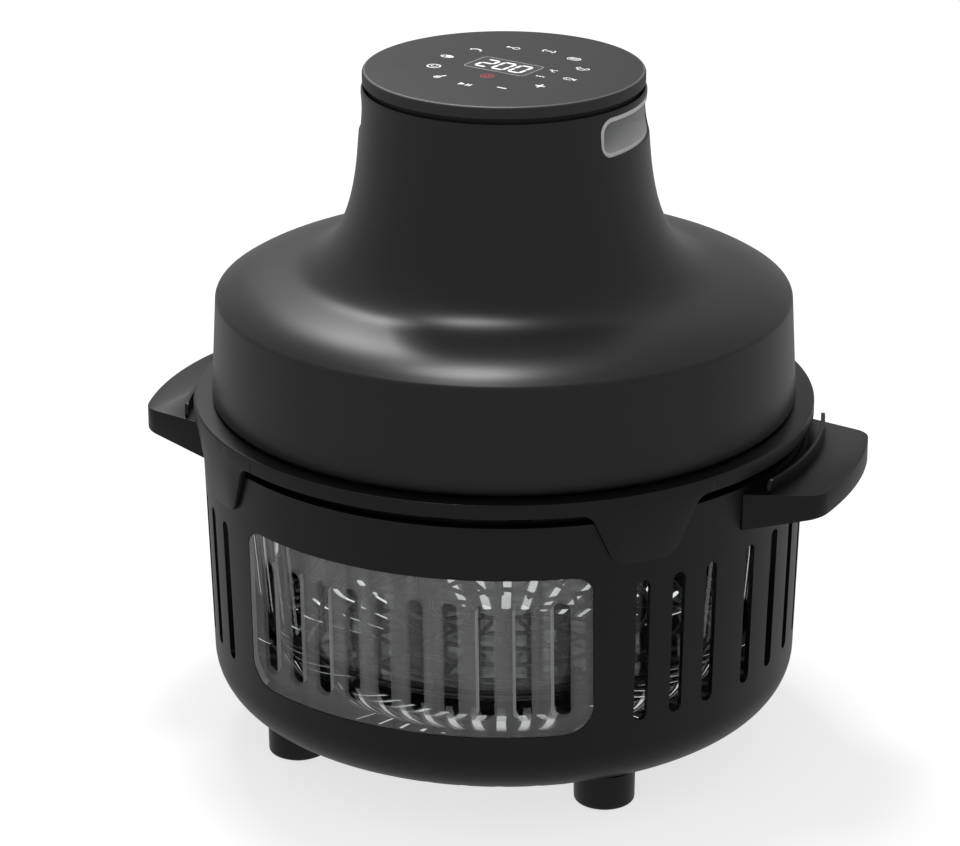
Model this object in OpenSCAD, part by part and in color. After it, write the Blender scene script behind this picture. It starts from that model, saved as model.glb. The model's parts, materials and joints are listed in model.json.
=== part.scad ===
// Counter-top glass-bowl fryer: a slotted base with two handles, a glass bowl that
// hangs in it, a wire rack in the bowl, and a lift-off head with heater, fan and panel.
// Millimetres. Z is up, the front is -Y, and the origin is under the middle of the feet.

/* [Collar] */
// Outer radius of the collar, which sets the size of the base, the bowl and the band
collar_r = 150; // [125:0.5:180]
// Height of the collar's top face, which sets the height of the base
collar_top_z = 171.5; // [142:0.5:206]
// Width of the collar from its outer face to its bore
collar_w = 12.2; // [12:0.1:15]
// Thickness of the collar's walls
collar_wall = 3; // [2.4:0.1:3.4]
// Depth of the collar's outer face
collar_face_h = 6.8; // [5:0.2:9]
// How far a lug reaches below the collar's outer face
lug_drop = 27.3; // [20:0.5:30]

/* [Base] */
// How far the collar stands out over the base wall
collar_overhang = 3.6; // [3:0.1:5]
// How far the collar stands up over the base wall
collar_rise = 12.7; // [12:0.1:13]
// Draft of the base wall, from its top edge to its bottom fillet
base_taper = 3.4; // [1:0.2:6]
// Thickness of the base wall
base_wall = 2.6; // [2:0.1:3.2]
// Radius of the fillet between wall and floor
base_fillet = 25; // [15:1:30]
// Number of cooling slots round the floor
floor_slots = 48; // [24:4:60]
// Width of a floor slot
floor_slot_w = 5; // [3:0.5:6]
// Length of a floor slot
floor_slot_l = 60; // [30:1:60]

/* [Feet] */
// Height of the feet, which is the gap under the floor
foot_h = 18.6; // [12:0.2:26]
// Radius of a foot
foot_r = 14.7; // [13:0.1:18]
// Distance from the base wall to the middle of a foot
foot_inset = 32; // [30:1:45]
// Radius of the rubber pad let into a foot
foot_pad_r = 11.5; // [8:0.5:12]

/* [Window and slots] */
// Half of the window's width
window_half_w = 85; // [80:1:90]
// Gap between the base's bottom fillet and the window
window_rise = 9.6; // [6:0.2:16]
// Gap between the window and the base's top edge
window_drop = 25.9; // [25:0.1:40]
// Width of a slot in the window
window_slot_w = 8; // [6:0.5:9]
// Distance from one window slot to the next
window_slot_pitch = 16; // [14:0.5:16]
// Width of a slot in the side wall
side_slot_w = 7; // [5:0.5:8]

/* [Handles] */
// How far a handle stands out from the base wall
handle_l = 30.4; // [26:0.2:40]
// How far a handle's top face lies below the base wall's top edge
handle_drop = 3.6; // [2:0.1:5]
// Thickness of the handle at its tip
handle_tip_t = 10; // [8:0.5:13]
// Thickness of the handle at its root
handle_root_t = 18; // [17:0.5:22]
// Distance from the base wall to the finger guard's middle
guard_gap = 8.2; // [6:0.2:14]
// Height of the finger guard above the handle
guard_h = 6.4; // [5:0.2:12]

/* [Bowl] */
// Gap between the collar's bore and the glass
bowl_gap = 7.3; // [6:0.1:9]
// Draft of the bowl, from its rim to its bottom curve
bowl_taper = 6.5; // [3:0.5:10]
// Gap between the base's floor and the bowl
bowl_floor_gap = 12.4; // [8:0.2:20]
// Radius of the bowl's bottom curve
bowl_fillet = 36; // [25:1:40]
// Thickness of the glass
glass_t = 4.5; // [3.5:0.1:5.5]
// Height of the bowl's rim flange
rim_h = 6; // [4:0.5:8]

/* [Rack] */
// Gap between the rack's outer ring and the glass
rack_gap = 16; // [14:1:30]
// Height of the rack above the glass
rack_h = 20; // [14:1:30]
// Radius of the rack's heavy wire
rack_wire_r = 1.6; // [1.2:0.1:2]

/* [Head shell] */
// Distance from the collar's outer face in to the head's band
band_inset = 9; // [8:0.1:10]
// Draft of the band, from its lower edge to the shoulder
band_taper = 2.6; // [1:0.1:4]
// Height of the band, from the collar to the shoulder
band_h = 50; // [44:1:60]
// Outer radius of the neck under its lip
neck_r = 67.4; // [60:0.1:81]
// Height of the neck, from the shoulder to its lip
neck_h = 102.5; // [90:0.5:123]
// Thickness of the head's wall
shell_wall = 2.6; // [2:0.1:3]
// Width of a grip opening in the neck
grip_w = 66.4; // [56:0.2:70]
// Height of a grip opening
grip_h = 19.4; // [16:0.2:20]
// Depth of the grip pockets
grip_depth = 27.4; // [22:0.2:30]

/* [Panel] */
// How far the panel's edge lies inside the neck's
panel_inset = 0.6; // [0:0.1:1]
// Height of the panel's side
panel_h = 5.9; // [5:0.1:7]
// Gap between the panel and the neck's lip
panel_gap = 2.4; // [1.5:0.1:3]
// Width of the display
display_w = 33.9; // [28:0.1:40]
// Depth of the display from front to back
display_d = 19; // [15:0.5:24]
// Turn of the panel's graphics from the front
panel_turn = -15; // [-30:1:30]

/* [Hot section] */
// Thickness of the reflector's sheet
sheet_t = 0.8; // [0.6:0.1:1.2]
// Height from the collar's top to the reflector's roof
reflector_rise = 38.5; // [36:0.5:40]
// Radius of the heater's tube
heater_tube_r = 3.2; // [2.5:0.1:4]
// Distance from the reflector's skirt to the heater's outer turn
heater_gap = 34; // [28:1:38]
// Distance from the heater's outer turn to its inner turn
heater_pitch = 22; // [18:1:26]
// Distance from the heater's outer turn to the circulation fan
hot_fan_gap = 30; // [26:1:36]

/* [Motor] */
// Radius of the motor's shaft
shaft_r = 4; // [3:0.1:5]
// Running clearance of the shaft in its bearings
shaft_gap = 0.03; // [0.01:0.01:0.1]
// Outer radius of the motor's can
motor_r = 34; // [30:1:36]
// Room above the motor for the cooling fan
fan_room = 24.5; // [23:0.5:30]
// Radius of the cooling fan
cool_fan_r = 46; // [38:1:46]

/* [Cord entry] */
// Radius of the hole that takes the supply cord
cord_hole_r = 3.6; // [2.5:0.1:4.5]
// Height from the cord entry to the neck's lip
gland_drop = 52; // [50:1:54]

/* [Hidden] */
$fn = 96;

// Clearances
fit = 0.2;          // between pieces of one assembly
running = 0.5;      // between moving pieces that never touch
weld = 0.1;         // how far welded wires sink into each other
eps = 0.01;         // overshoot of a cut
tall = 400;         // height of a cut that passes through everything

// Sizes that follow from the ones above
floor_z = foot_h;
floor_top_z = floor_z + 3;
wall_foot_z = floor_z + base_fillet;
cut_reach = collar_r + 20;

base_top_r = collar_r - collar_overhang;
base_low_r = base_top_r - base_taper;
base_top_z = collar_top_z - collar_rise;
collar_bore_r = collar_r - collar_w;
bowl_r = collar_bore_r - bowl_gap;
bowl_low_r = bowl_r - bowl_taper;
band_low_r = collar_r - band_inset;
band_top_r = band_low_r - band_taper;
reflector_r = bowl_r - glass_t;
panel_r = neck_r - panel_inset;

collar_round = 1.2;
collar_bottom_z = collar_top_z - collar_face_h;
ledge_top_z = collar_top_z - 14.5;
ledge_t = 3;
ledge_r = bowl_r + 2;
collar_skirt_z = ledge_top_z - 10;
collar_skirt_r = collar_bore_r + collar_wall;
lug_low_z = collar_bottom_z - lug_drop;
lug_angle = 45.5;
lug_top_half = 28;
lug_low_half = 15;
lug_screw_z = ledge_top_z - ledge_t - 3.3;
lug_flank = 8;
lug_draft = 2.5;
lug_screw_end_r = collar_r - 1.5;
air_holes = 24;
air_hole_w = 12;
air_hole_h = 4.2;
air_hole_z = base_top_z + 1.4;

screw_r = 1.8;
screw_hole_r = 2;
screw_head_h = 1.4;
screw_head_r = 2.9;
handle_top_z = base_top_z - handle_drop;
handle_reach = base_top_r + handle_l;
handle_screw_y = 22;
handle_screw_z = handle_top_z - 13;
handle_screw_l = 11;

window_low_z = wall_foot_z + window_rise;
window_top_z = base_top_z - window_drop;
window_corner_top = 8;
window_corner_low = 13;
window_lip = 3;
window_lip_t = 1.4;
window_slot_low_z = window_low_z + 9;
window_slot_top_z = window_top_z - 12;
side_slot_low_z = window_low_z + 2.3;
side_slot_top_z = window_top_z - 6;
slot_angles = [45.7, 53.3, 61, 72, 81, 90, 99, 108, 119, 126.7, 134.3];
slots_a_side = 5;
foot_ring_r = base_low_r - foot_inset;
foot_cup_h = 3;
foot_lip = 1.8;
foot_round = 2;
foot_screw_l = 9;
floor_slot_end_r = base_low_r - 11.4;

guard_r = base_top_r + guard_gap;
guard_t = 1.8;
guard_half_angle = 18;
guard_corner = 3;

seal_t = 3;
rim_low_z = ledge_top_z + seal_t;
rim_top_z = rim_low_z + rim_h;
rim_r = collar_bore_r - 2.3;
seal_r = collar_bore_r - 0.8;
rim_edge = 1;
bowl_bottom_z = floor_top_z + bowl_floor_gap;
bowl_floor_z = bowl_bottom_z + glass_t;
rack_r = bowl_low_r - rack_gap;
rack_z = bowl_floor_z + rack_h;
rack_leg_r = rack_r - 30;
rack_cup = 2;
rack_legs = 4;
rack_spokes = 16;
rack_rings = 5;
rack_fine_r = 1.2;
rack_foot_r = 3.5;
rack_foot_h = 6;

gasket_t = 2.5;
base_ring_z = rim_top_z + gasket_t;
base_ring_top_z = collar_top_z + 5.5;
base_ring_r = collar_bore_r - 0.6;
head_screw_r = base_ring_r - 3;
// azimuth of the lid switch, between two screws, and of the magnet under it
switch_az = 75;
head_screw_count = 6;
boss_r = 4.5;
boss_h = 26;
band_round = 2.6;
band_top_z = collar_top_z + band_h;
shoulder_round = 5;
shoulder_angle = 60;
neck_top_z = band_top_z + neck_h;
flare_end = [(band_top_r + neck_r) / 2, band_top_z + 13.5];
neck_foot = [neck_r + 1.6, neck_top_z - 26];
grip_low_z = neck_top_z - 22;
grip_floor_x = neck_r - grip_depth;
grip_corner = 7;
grip_wall = 2;
grip_face_r = neck_r - 0.1;
vents = 5;
vent_w = 4;
vent_h = 10;
vent_pitch = 9;

panel_low_z = neck_top_z + panel_gap;
panel_top_z = panel_low_z + panel_h;
panel_skin = 2.6;
panel_round = 1.5;
carrier_r = neck_r - shell_wall - fit;
carrier_low_z = grip_low_z + grip_h;
carrier_top_z = panel_top_z - panel_skin;
carrier_floor_z = carrier_top_z - 3.2;
carrier_t = 1.6;
board_t = 1.6;
control_board_r = carrier_r - 4.5;
control_board_z = carrier_floor_z - board_t - 0.6;
display_offset = [-1.3, 1.8];

ledge_inner_r = neck_r - 6.4;
board_ledge_z = grip_low_z - 18.5;
board_ledge_t = 2.5;
power_board_z = board_ledge_z + board_ledge_t;
power_board_r = neck_r - 4.9;

reflector_top_z = collar_top_z + reflector_rise;
reflector_round = 10;
flange_r = base_ring_r - fit;
shaft_hole_r = shaft_r + 4;
guard_wire_r = 1.2;
guard_z = collar_top_z + 3.5;
guard_rings = 5;
heater_z = guard_z + 9;
heater_r = reflector_r - heater_gap;
heater_inner_r = heater_r - heater_pitch;
hot_fan_r = heater_r - hot_fan_gap;
heater_leg_x = 12;
terminal_r = 6;
hot_fan_z = reflector_top_z - 6;
blade_t = 1.2;
hot_blade_h = 12;
hot_blades = 8;
insulation_t = 3.5;
spacer_r = 3.5;
spacer_h = 9;
spacer_ring_r = 42;
spacers = 4;
insulation_in_r = spacer_ring_r + 10;
insulation_out_r = reflector_r - 22;
bracket_z = reflector_top_z + spacer_h;
bracket_t = 2;
bracket_r = 48;
motor_z = bracket_z + bracket_t;
motor_h = board_ledge_z - motor_z - fan_room;
can_wall = 1.6;
stator_r = motor_r - can_wall - fit;
stator_bore_r = 19.5;
stator_h = motor_h - 14;
stator_z = motor_z + 7;
bearing_r = 8;
bearing_h = 6;
shaft_low_z = hot_fan_z - hot_blade_h - 10;
cool_fan_z = motor_z + motor_h + 4;
cool_blade_h = 12;
cool_blades = 9;
hub_r = 9;
hub_h = 9;
shaft_top_z = cool_fan_z + hub_h + 3;
nut_r = 7;
nut_h = 5;
gland_z = neck_top_z - gland_drop;
gland_r = 5.6;
gland_flange_r = 8.2;
gland_flange_t = 2.5;
gland_boss_r = 9.5;
gland_face_y = neck_r + 8.6;
gland_in_y = gland_face_y - 14;
gland_nut_t = 4;
probe_r = 2;
probe_flange_r = 5;
probe_flange_t = 3;
probe_angle = -50;
fuse_r = 3;
fuse_l = 14;
fuse_angle = 120;

black = [0.09, 0.09, 0.095];
dark = [0.16, 0.16, 0.17];
steel = [0.72, 0.73, 0.75];
board_green = [0.08, 0.28, 0.16];
copper = [0.72, 0.42, 0.22];

// Curves in the plane, as lists of points

// Part of a circle
function arc(centre, r, from, to, steps) = [
    for (i = [0:steps])
        let (a = from + (to - from) * i / steps)
        centre + r * [cos(a), sin(a)]
];

// Cubic curve from a to d, pulled towards b and c
function bezier(a, b, c, d, steps) = [
    for (i = [1:steps])
        let (t = i / steps, u = 1 - t)
        u * u * u * a + 3 * u * u * t * b + 3 * u * t * t * c + t * t * t * d
];

function unit(v) = v / norm(v);

// Outward side of a path that runs outwards and up
function outward(path, i) =
    let (
        before = path[max(i - 1, 0)],
        after = path[min(i + 1, len(path) - 1)],
        along = unit(after - before)
    )
    [along[1], -along[0]];

// The path moved sideways by gap, outwards if gap is positive
function shifted(path, gap) = [
    for (i = [0:len(path) - 1]) path[i] + gap * outward(path, i)
];

function reversed(path) = [for (i = [len(path) - 1:-1:0]) path[i]];

// Closed outline of a wall that lies inside the path
function wall_outline(path, t) = concat(path, reversed(shifted(path, -t)));

// Points that round off the corner q between p and s
function corner(p, q, s, r, steps) =
    let (
        a = unit(p - q),
        b = unit(s - q),
        half = acos(a * b) / 2,
        centre = q + unit(a + b) * r / sin(half),
        start = q + a * r / tan(half) - centre,
        end = q + b * r / tan(half) - centre,
        from = atan2(start[1], start[0]),
        sweep = (atan2(end[1], end[0]) - from + 540) % 360 - 180
    )
    r == 0 ? [q] : arc(centre, r, from, from + sweep, steps);

// Polygon with each corner rounded by its own radius
function rounded(points, radii, steps = 6) = [
    for (i = [0:len(points) - 1])
        let (n = len(points))
        each corner(points[(i + n - 1) % n], points[i], points[(i + 1) % n], radii[i], steps)
];

// Radius of the base wall's outer face at a height
function base_r(z) =
    base_low_r + (base_top_r - base_low_r) * (z - wall_foot_z) / (base_top_z - wall_foot_z);

// Building blocks

module ring(r_out, r_in, z, h) {
    translate([0, 0, z])
        difference() {
            cylinder(r = r_out, h = h);
            translate([0, 0, -eps]) cylinder(r = r_in, h = h + 2 * eps);
        }
}

// A flat outline, drawn as x and z, pushed out along Y from y_from to y_to
module along_y(y_from, y_to) {
    translate([0, y_to, 0])
        rotate([90, 0, 0])
            linear_extrude(height = y_to - y_from) children();
}

// A flat outline, drawn as y and z, pushed out along X from x_from to x_to
module along_x(x_from, x_to) {
    translate([x_from, 0, 0])
        rotate([90, 0, 90])
            linear_extrude(height = x_to - x_from) children();
}

module along_azimuths(angles) {
    for (a = angles) rotate([0, 0, a]) children();
}

module around(count, from = 0) {
    for (i = [0:count - 1]) rotate([0, 0, from + i * 360 / count]) children();
}

// Upright slot with round ends
module stadium(w, low, high) {
    translate([-w / 2, low + w / 2]) square([w, high - low - w]);
    translate([0, low + w / 2]) circle(r = w / 2);
    translate([0, high - w / 2]) circle(r = w / 2);
}

module rod_x(r, from, to) {
    translate([from, 0, 0]) rotate([0, 90, 0]) cylinder(r = r, h = to - from);
}

module torus(r, tube, z) {
    translate([0, 0, z]) rotate_extrude() translate([r, 0]) circle(r = tube);
}

// Four corners round the axis at the lugs' azimuths, with +X pointing outwards
module at_lugs() {
    along_azimuths([lug_angle, 180 - lug_angle, 180 + lug_angle, -lug_angle]) children();
}

module at_feet() {
    around(4, 45) translate([foot_ring_r, 0, 0]) children();
}

// The two screw places of a handle, with +X pointing outwards
module at_handle_screws() {
    for (side = [-1, 1])
        translate([0, side * handle_screw_y, handle_screw_z]) children();
}

// Base

base_path = concat(
    [[0, floor_z]],
    arc([base_low_r - base_fillet, wall_foot_z], base_fillet, -90, 0, 10),
    [[base_top_r, base_top_z]]
);

module window_outline(grow) {
    w = window_half_w + grow;
    low = window_low_z - grow;
    high = window_top_z + grow;
    polygon(rounded(
        [[-w, low], [w, low], [w, high], [-w, high]],
        [window_corner_low, window_corner_low, window_corner_top, window_corner_top]
    ));
}

module window_slots(y_from, y_to) {
    for (side = [-1, 1], i = [0:slots_a_side - 1])
        along_y(y_from, y_to)
            translate([side * (i + 0.5) * window_slot_pitch, 0])
                stadium(window_slot_w, window_slot_low_z, window_slot_top_z);
}

module side_slots() {
    for (side = [-1, 1])
        along_azimuths([for (a = slot_angles) side * a])
            along_y(-cut_reach, -bowl_r)
                stadium(side_slot_w, side_slot_low_z, side_slot_top_z);
}

// Floor slots run into the fillet and leave out the places of the feet
module floor_cuts() {
    pitch = 360 / floor_slots;
    clear = asin((foot_r + floor_slot_w) / foot_ring_r);
    for (i = [0:floor_slots - 1])
        let (a = (i + 0.5) * pitch, from_foot = abs((a % 90) - 45))
        if (from_foot > clear)
            rotate([0, 0, a])
                translate([floor_slot_end_r - floor_slot_l, -floor_slot_w / 2, floor_z - 1])
                    cube([floor_slot_l, floor_slot_w, 6.5]);
}

module basket_shell() {
    color(black)
        difference() {
            rotate_extrude() polygon(wall_outline(base_path, base_wall));
            along_y(-cut_reach, -base_low_r / 3) window_outline(0);
            window_slots(bowl_r / 2, cut_reach);
            side_slots();
            floor_cuts();
            at_feet() cylinder(r = screw_hole_r, h = tall);
            at_lugs()
                translate([0, 0, lug_screw_z]) rod_x(screw_hole_r, bowl_r, cut_reach);
            for (turn = [0, 180])
                rotate([0, 0, turn])
                    at_handle_screws() rod_x(screw_hole_r, bowl_r, cut_reach);
        }
}

// A band of the base wall between two depths below its outer face
module wall_band(depth_out, depth_in) {
    low = window_low_z - 2 * window_lip;
    high = window_top_z + 2 * window_lip;
    rotate_extrude()
        polygon([
            [base_r(low) - depth_in, low], [base_r(low) - depth_out, low],
            [base_r(high) - depth_out, high], [base_r(high) - depth_in, high],
        ]);
}

module viewing_window() {
    lip_out = base_wall + fit;
    color([0.35, 0.36, 0.38, 0.45])
        difference() {
            union() {
                intersection() {
                    wall_band(fit, lip_out + window_lip_t);
                    along_y(-cut_reach, 0) window_outline(-fit);
                }
                intersection() {
                    wall_band(lip_out, lip_out + window_lip_t);
                    along_y(-cut_reach, 0) window_outline(window_lip);
                }
            }
            window_slots(-cut_reach, 0);
        }
}

collar_outline = [
    [collar_r - collar_round, collar_top_z], [collar_r, collar_top_z - collar_round],
    [collar_r, collar_bottom_z], [collar_r - collar_wall, collar_bottom_z],
    [collar_r - collar_wall, collar_top_z - collar_wall],
    [collar_skirt_r, collar_top_z - collar_wall], [collar_skirt_r, collar_skirt_z],
    [collar_bore_r, collar_skirt_z], [collar_bore_r, ledge_top_z - ledge_t],
    [ledge_r, ledge_top_z - ledge_t], [ledge_r, ledge_top_z],
    [collar_bore_r, ledge_top_z], [collar_bore_r, collar_top_z],
];

// One lug as seen along its radius
lug_points = rounded(
    [
        [-lug_top_half - lug_flank, collar_bottom_z], [-lug_top_half, collar_bottom_z],
        [-lug_low_half, lug_low_z], [lug_low_half, lug_low_z],
        [lug_top_half, collar_bottom_z], [lug_top_half + lug_flank, collar_bottom_z],
        [lug_top_half + lug_flank, collar_top_z - collar_wall],
        [-lug_top_half - lug_flank, collar_top_z - collar_wall],
    ],
    [0, 8, 10, 10, 8, 0, 0, 0]
);

module collar_ring() {
    color(black)
        difference() {
            union() {
                rotate_extrude() polygon(collar_outline);
                intersection() {
                    rotate_extrude()
                        polygon([
                            [base_r(lug_low_z) + fit, lug_low_z - 1],
                            [collar_r - lug_draft, lug_low_z - 1],
                            [collar_r, collar_bottom_z],
                            [collar_r, collar_top_z - collar_wall / 2],
                            [base_r(base_top_z) + fit, collar_top_z - collar_wall / 2],
                        ]);
                    at_lugs() along_x(bowl_r, cut_reach) polygon(lug_points);
                }
            }
            // air holes behind the gap under the collar's face
            around(air_holes, 180 / air_holes)
                translate([bowl_r, -air_hole_w / 2, air_hole_z])
                    cube([collar_skirt_r - bowl_r + 2, air_hole_w, air_hole_h]);
            at_lugs()
                translate([0, 0, lug_screw_z])
                    rod_x(screw_hole_r, bowl_r, collar_skirt_r + 1);
            at_lugs()
                translate([0, 0, lug_screw_z])
                    rod_x(screw_r, collar_skirt_r, lug_screw_end_r);
        }
}

handle_edge_r = 165;
handle_edge_angle = 12;
handle_corner = [handle_reach - 5.8, 43.5];
handle_corner_r = 11;
handle_root_y = 53.6;
handle_root = [sqrt(pow(base_top_r, 2) - pow(handle_root_y, 2)), handle_root_y];
handle_back = [handle_root[0] - 10, handle_root[1] - 3];
handle_edge = arc([handle_reach - handle_edge_r, 0], handle_edge_r, -handle_edge_angle,
                  handle_edge_angle, 10);
handle_plan = rounded(
    concat(
        [[handle_back[0], -handle_back[1]], [handle_root[0], -handle_root[1]],
         [handle_corner[0], -handle_corner[1]]],
        handle_edge,
        [handle_corner, handle_root, handle_back]
    ),
    concat([0, 0, handle_corner_r], [for (p = handle_edge) 0], [handle_corner_r, 0, 0])
);
handle_side = [
    [bowl_r, handle_top_z], [handle_reach + 1, handle_top_z],
    [handle_reach + 1, handle_top_z - handle_tip_t],
    [handle_root[0], handle_top_z - handle_root_t], [bowl_r, handle_top_z - handle_root_t],
];

// The handle of the +X side
module handle() {
    rib_top_z = handle_top_z + guard_h;
    rib_half_w = guard_r * sin(guard_half_angle);
    color(black)
        difference() {
            union() {
                intersection() {
                    translate([0, 0, handle_top_z - handle_root_t - 1])
                        linear_extrude(height = handle_root_t + 1) polygon(handle_plan);
                    along_y(-handle_reach, handle_reach) polygon(handle_side);
                }
                intersection() {
                    ring(guard_r + guard_t / 2, guard_r - guard_t / 2, handle_top_z - 1,
                         guard_h + 2);
                    along_x(bowl_r, handle_reach)
                        polygon(rounded(
                            [[-rib_half_w, handle_top_z - 1], [rib_half_w, handle_top_z - 1],
                             [rib_half_w, rib_top_z], [-rib_half_w, rib_top_z]],
                            [0, 0, guard_corner, guard_corner]
                        ));
                }
            }
            rotate_extrude()
                polygon([
                    [0, 0], [base_r(0) + fit, 0],
                    [base_r(handle_top_z + 1) + fit, handle_top_z + 1],
                    [0, handle_top_z + 1],
                ]);
            at_handle_screws() rod_x(screw_r, bowl_r, base_top_r + handle_screw_l - 4);
        }
}

module handle_right() {
    handle();
}

module handle_left() {
    mirror([1, 0, 0]) handle();
}

// A screw along +X whose head lies against a wall's inner face at x = wall_x
module side_screw(wall_x, l) {
    rod_x(screw_r, wall_x - eps, wall_x + l);
    rod_x(screw_head_r, wall_x - screw_head_h, wall_x);
}

module handle_screws() {
    wall_x = sqrt(pow(base_r(handle_screw_z) - base_wall, 2) - pow(handle_screw_y, 2))
        - screw_head_r * handle_screw_y / base_low_r - fit;
    color(steel)
        for (turn = [0, 180])
            rotate([0, 0, turn]) at_handle_screws() side_screw(wall_x, handle_screw_l);
}

module collar_screws() {
    color(steel)
        at_lugs()
            translate([0, 0, lug_screw_z])
                side_screw(collar_bore_r - fit, lug_screw_end_r - collar_bore_r);
}

// One foot, seen in section
foot_outline = concat(
    [[0, floor_z], [0, foot_cup_h], [foot_pad_r + fit, foot_cup_h],
     [foot_pad_r + fit, foot_cup_h - foot_lip]],
    arc([foot_r - foot_round - fit, foot_cup_h - foot_lip + foot_round], foot_round, -90, 0, 4),
    [[foot_r, floor_z]]
);

module base_feet() {
    color(black)
        at_feet()
            difference() {
                rotate_extrude() polygon(foot_outline);
                translate([0, 0, floor_z - foot_screw_l - 1])
                    cylinder(r = screw_r, h = foot_screw_l + 2);
            }
}

module foot_pads() {
    color(dark)
        at_feet()
            rotate_extrude()
                polygon([[0, 0], [foot_pad_r - 0.8, 0], [foot_pad_r, 0.8],
                         [foot_pad_r, foot_cup_h], [0, foot_cup_h]]);
}

module foot_screws() {
    color(steel)
        at_feet()
            union() {
                translate([0, 0, floor_z - foot_screw_l])
                    cylinder(r = screw_r, h = foot_screw_l + 3.5);
                translate([0, 0, floor_top_z]) cylinder(r = screw_head_r + 1, h = 2.2);
            }
}

module interlock_magnet() {
    color(steel)
        rotate([0, 0, switch_az])
            translate([(collar_skirt_r + collar_r - collar_wall) / 2, 0,
                       collar_top_z - collar_wall - 2.1])
                cylinder(r = 2.6, h = 2);
}

// Bowl and rack

bowl_path = concat(
    [[0, bowl_bottom_z]],
    arc([bowl_low_r - bowl_fillet, bowl_bottom_z + bowl_fillet], bowl_fillet, -90, 0, 12),
    [[bowl_r, rim_low_z]]
);

module glass_bowl() {
    inner = shifted(bowl_path, -glass_t);
    outline = concat(
        bowl_path,
        [[rim_r - rim_edge, rim_low_z], [rim_r, rim_low_z + rim_edge],
         [rim_r, rim_top_z - rim_edge], [rim_r - rim_edge, rim_top_z],
         [bowl_r - glass_t, rim_top_z]],
        reversed(inner)
    );
    color([0.85, 0.92, 0.95, 0.3]) rotate_extrude() polygon(outline);
}

module bowl_rim_seal() {
    color(dark)
        rotate_extrude()
            polygon([
                [bowl_r + 1, ledge_top_z], [seal_r, ledge_top_z],
                [seal_r, rim_low_z + seal_t], [rim_r + fit / 2, rim_low_z + seal_t],
                [rim_r + fit / 2, rim_low_z], [bowl_r + 1, rim_low_z],
            ]);
}

// Flat-laid wire ring, square in section, with its middle on radius r
module wire_ring(r, half, z) {
    ring(r + half, r - half, z - half, 2 * half);
}

// Straight wire along +X, square in section, with its axis at height z
module wire_bar(half, from, to, z) {
    translate([from, -half, z - half]) cube([to - from, 2 * half, 2 * half]);
}

module crisper_rack() {
    spoke_z = rack_z - 2 * rack_fine_r + weld;
    color(steel)
        union() {
            wire_ring(rack_r, rack_wire_r, rack_z - rack_wire_r + rack_fine_r);
            for (i = [1:rack_rings]) wire_ring(rack_r * i / (rack_rings + 1), rack_fine_r, rack_z);
            around(rack_spokes)
                wire_bar(rack_fine_r, rack_r / (rack_rings + 1), rack_r, spoke_z);
            around(rack_legs, 45)
                translate([rack_leg_r, 0, bowl_floor_z + rack_cup])
                    cylinder(r = rack_wire_r, h = rack_h - rack_cup);
            wire_ring(rack_leg_r, rack_fine_r, bowl_floor_z + rack_h / 2);
        }
}

module rack_feet() {
    color(dark)
        around(rack_legs, 45)
            translate([rack_leg_r, 0, bowl_floor_z])
                difference() {
                    cylinder(r = rack_foot_r, h = rack_foot_h);
                    translate([0, 0, rack_cup]) cylinder(r = rack_wire_r, h = rack_foot_h);
                }
}

// Head

head_path = concat(
    arc([band_low_r - band_round, collar_top_z + band_round], band_round, -90, 0, 5),
    arc([band_top_r - shoulder_round, band_top_z - 0.5], shoulder_round, 0,
        shoulder_angle, 6),
    bezier(
        [band_top_r, band_top_z - 0.5] + shoulder_round * [cos(shoulder_angle) - 1,
                                                            sin(shoulder_angle)],
        [band_top_r - 12.4, band_top_z + 9.5], flare_end + [10, -2.2], flare_end, 8
    ),
    bezier(flare_end, [neck_r + 12.6, flare_end[1] + 5],
           [neck_foot[0] + 2.4, neck_foot[1] - 36], neck_foot, 14),
    [[neck_r + 0.2, neck_top_z - 10], [neck_r, neck_top_z]]
);

module grip_outline(shrink) {
    w = grip_w / 2 - shrink;
    low = grip_low_z + shrink;
    high = grip_low_z + grip_h - shrink;
    r = grip_corner - shrink;
    polygon(rounded([[-w, low], [w, low], [w, high], [-w, high]], [r, r, r, r]));
}

module at_head_screws() {
    around(head_screw_count, 30) translate([head_screw_r, 0, 0]) children();
}

module head_shell() {
    boss_z = base_ring_top_z + sheet_t;
    color(black)
        difference() {
            union() {
                rotate_extrude() polygon(wall_outline(head_path, shell_wall));
                // ledge that carries the power board
                ring(neck_r - 0.5, ledge_inner_r, board_ledge_z, board_ledge_t);
                at_head_screws() translate([0, 0, boss_z]) cylinder(r = boss_r, h = boss_h);
                translate([0, gland_face_y, gland_z])
                    rotate([90, 0, 0]) cylinder(r = gland_boss_r, h = 10);
            }
            along_x(-cut_reach, cut_reach) grip_outline(0);
            at_head_screws()
                translate([0, 0, boss_z - eps]) cylinder(r = screw_r, h = boss_h - 6);
            translate([0, gland_face_y + 1, gland_z])
                rotate([90, 0, 0]) cylinder(r = gland_r + fit / 2, h = 18);
        }
}

module head_base_ring() {
    color(dark)
        difference() {
            rotate_extrude()
                polygon([
                    [reflector_r + fit, base_ring_z], [base_ring_r - 0.6, base_ring_z],
                    [base_ring_r, base_ring_z + 0.6], [base_ring_r, base_ring_top_z],
                    [reflector_r + fit, base_ring_top_z],
                ]);
            at_head_screws()
                translate([0, 0, base_ring_z - eps]) {
                    cylinder(r = screw_hole_r, h = 20);
                    cylinder(r = screw_head_r + fit / 2, h = screw_head_h + fit / 2);
                }
        }
}

module head_gasket() {
    color([0.3, 0.3, 0.31])
        rotate_extrude()
            polygon([
                [bowl_r - glass_t + 1.5, rim_top_z], [head_screw_r - screw_head_r - 1, rim_top_z],
                [head_screw_r - screw_head_r - 1, base_ring_z],
                [reflector_r + fit, base_ring_z],
            ]);
}

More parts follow.
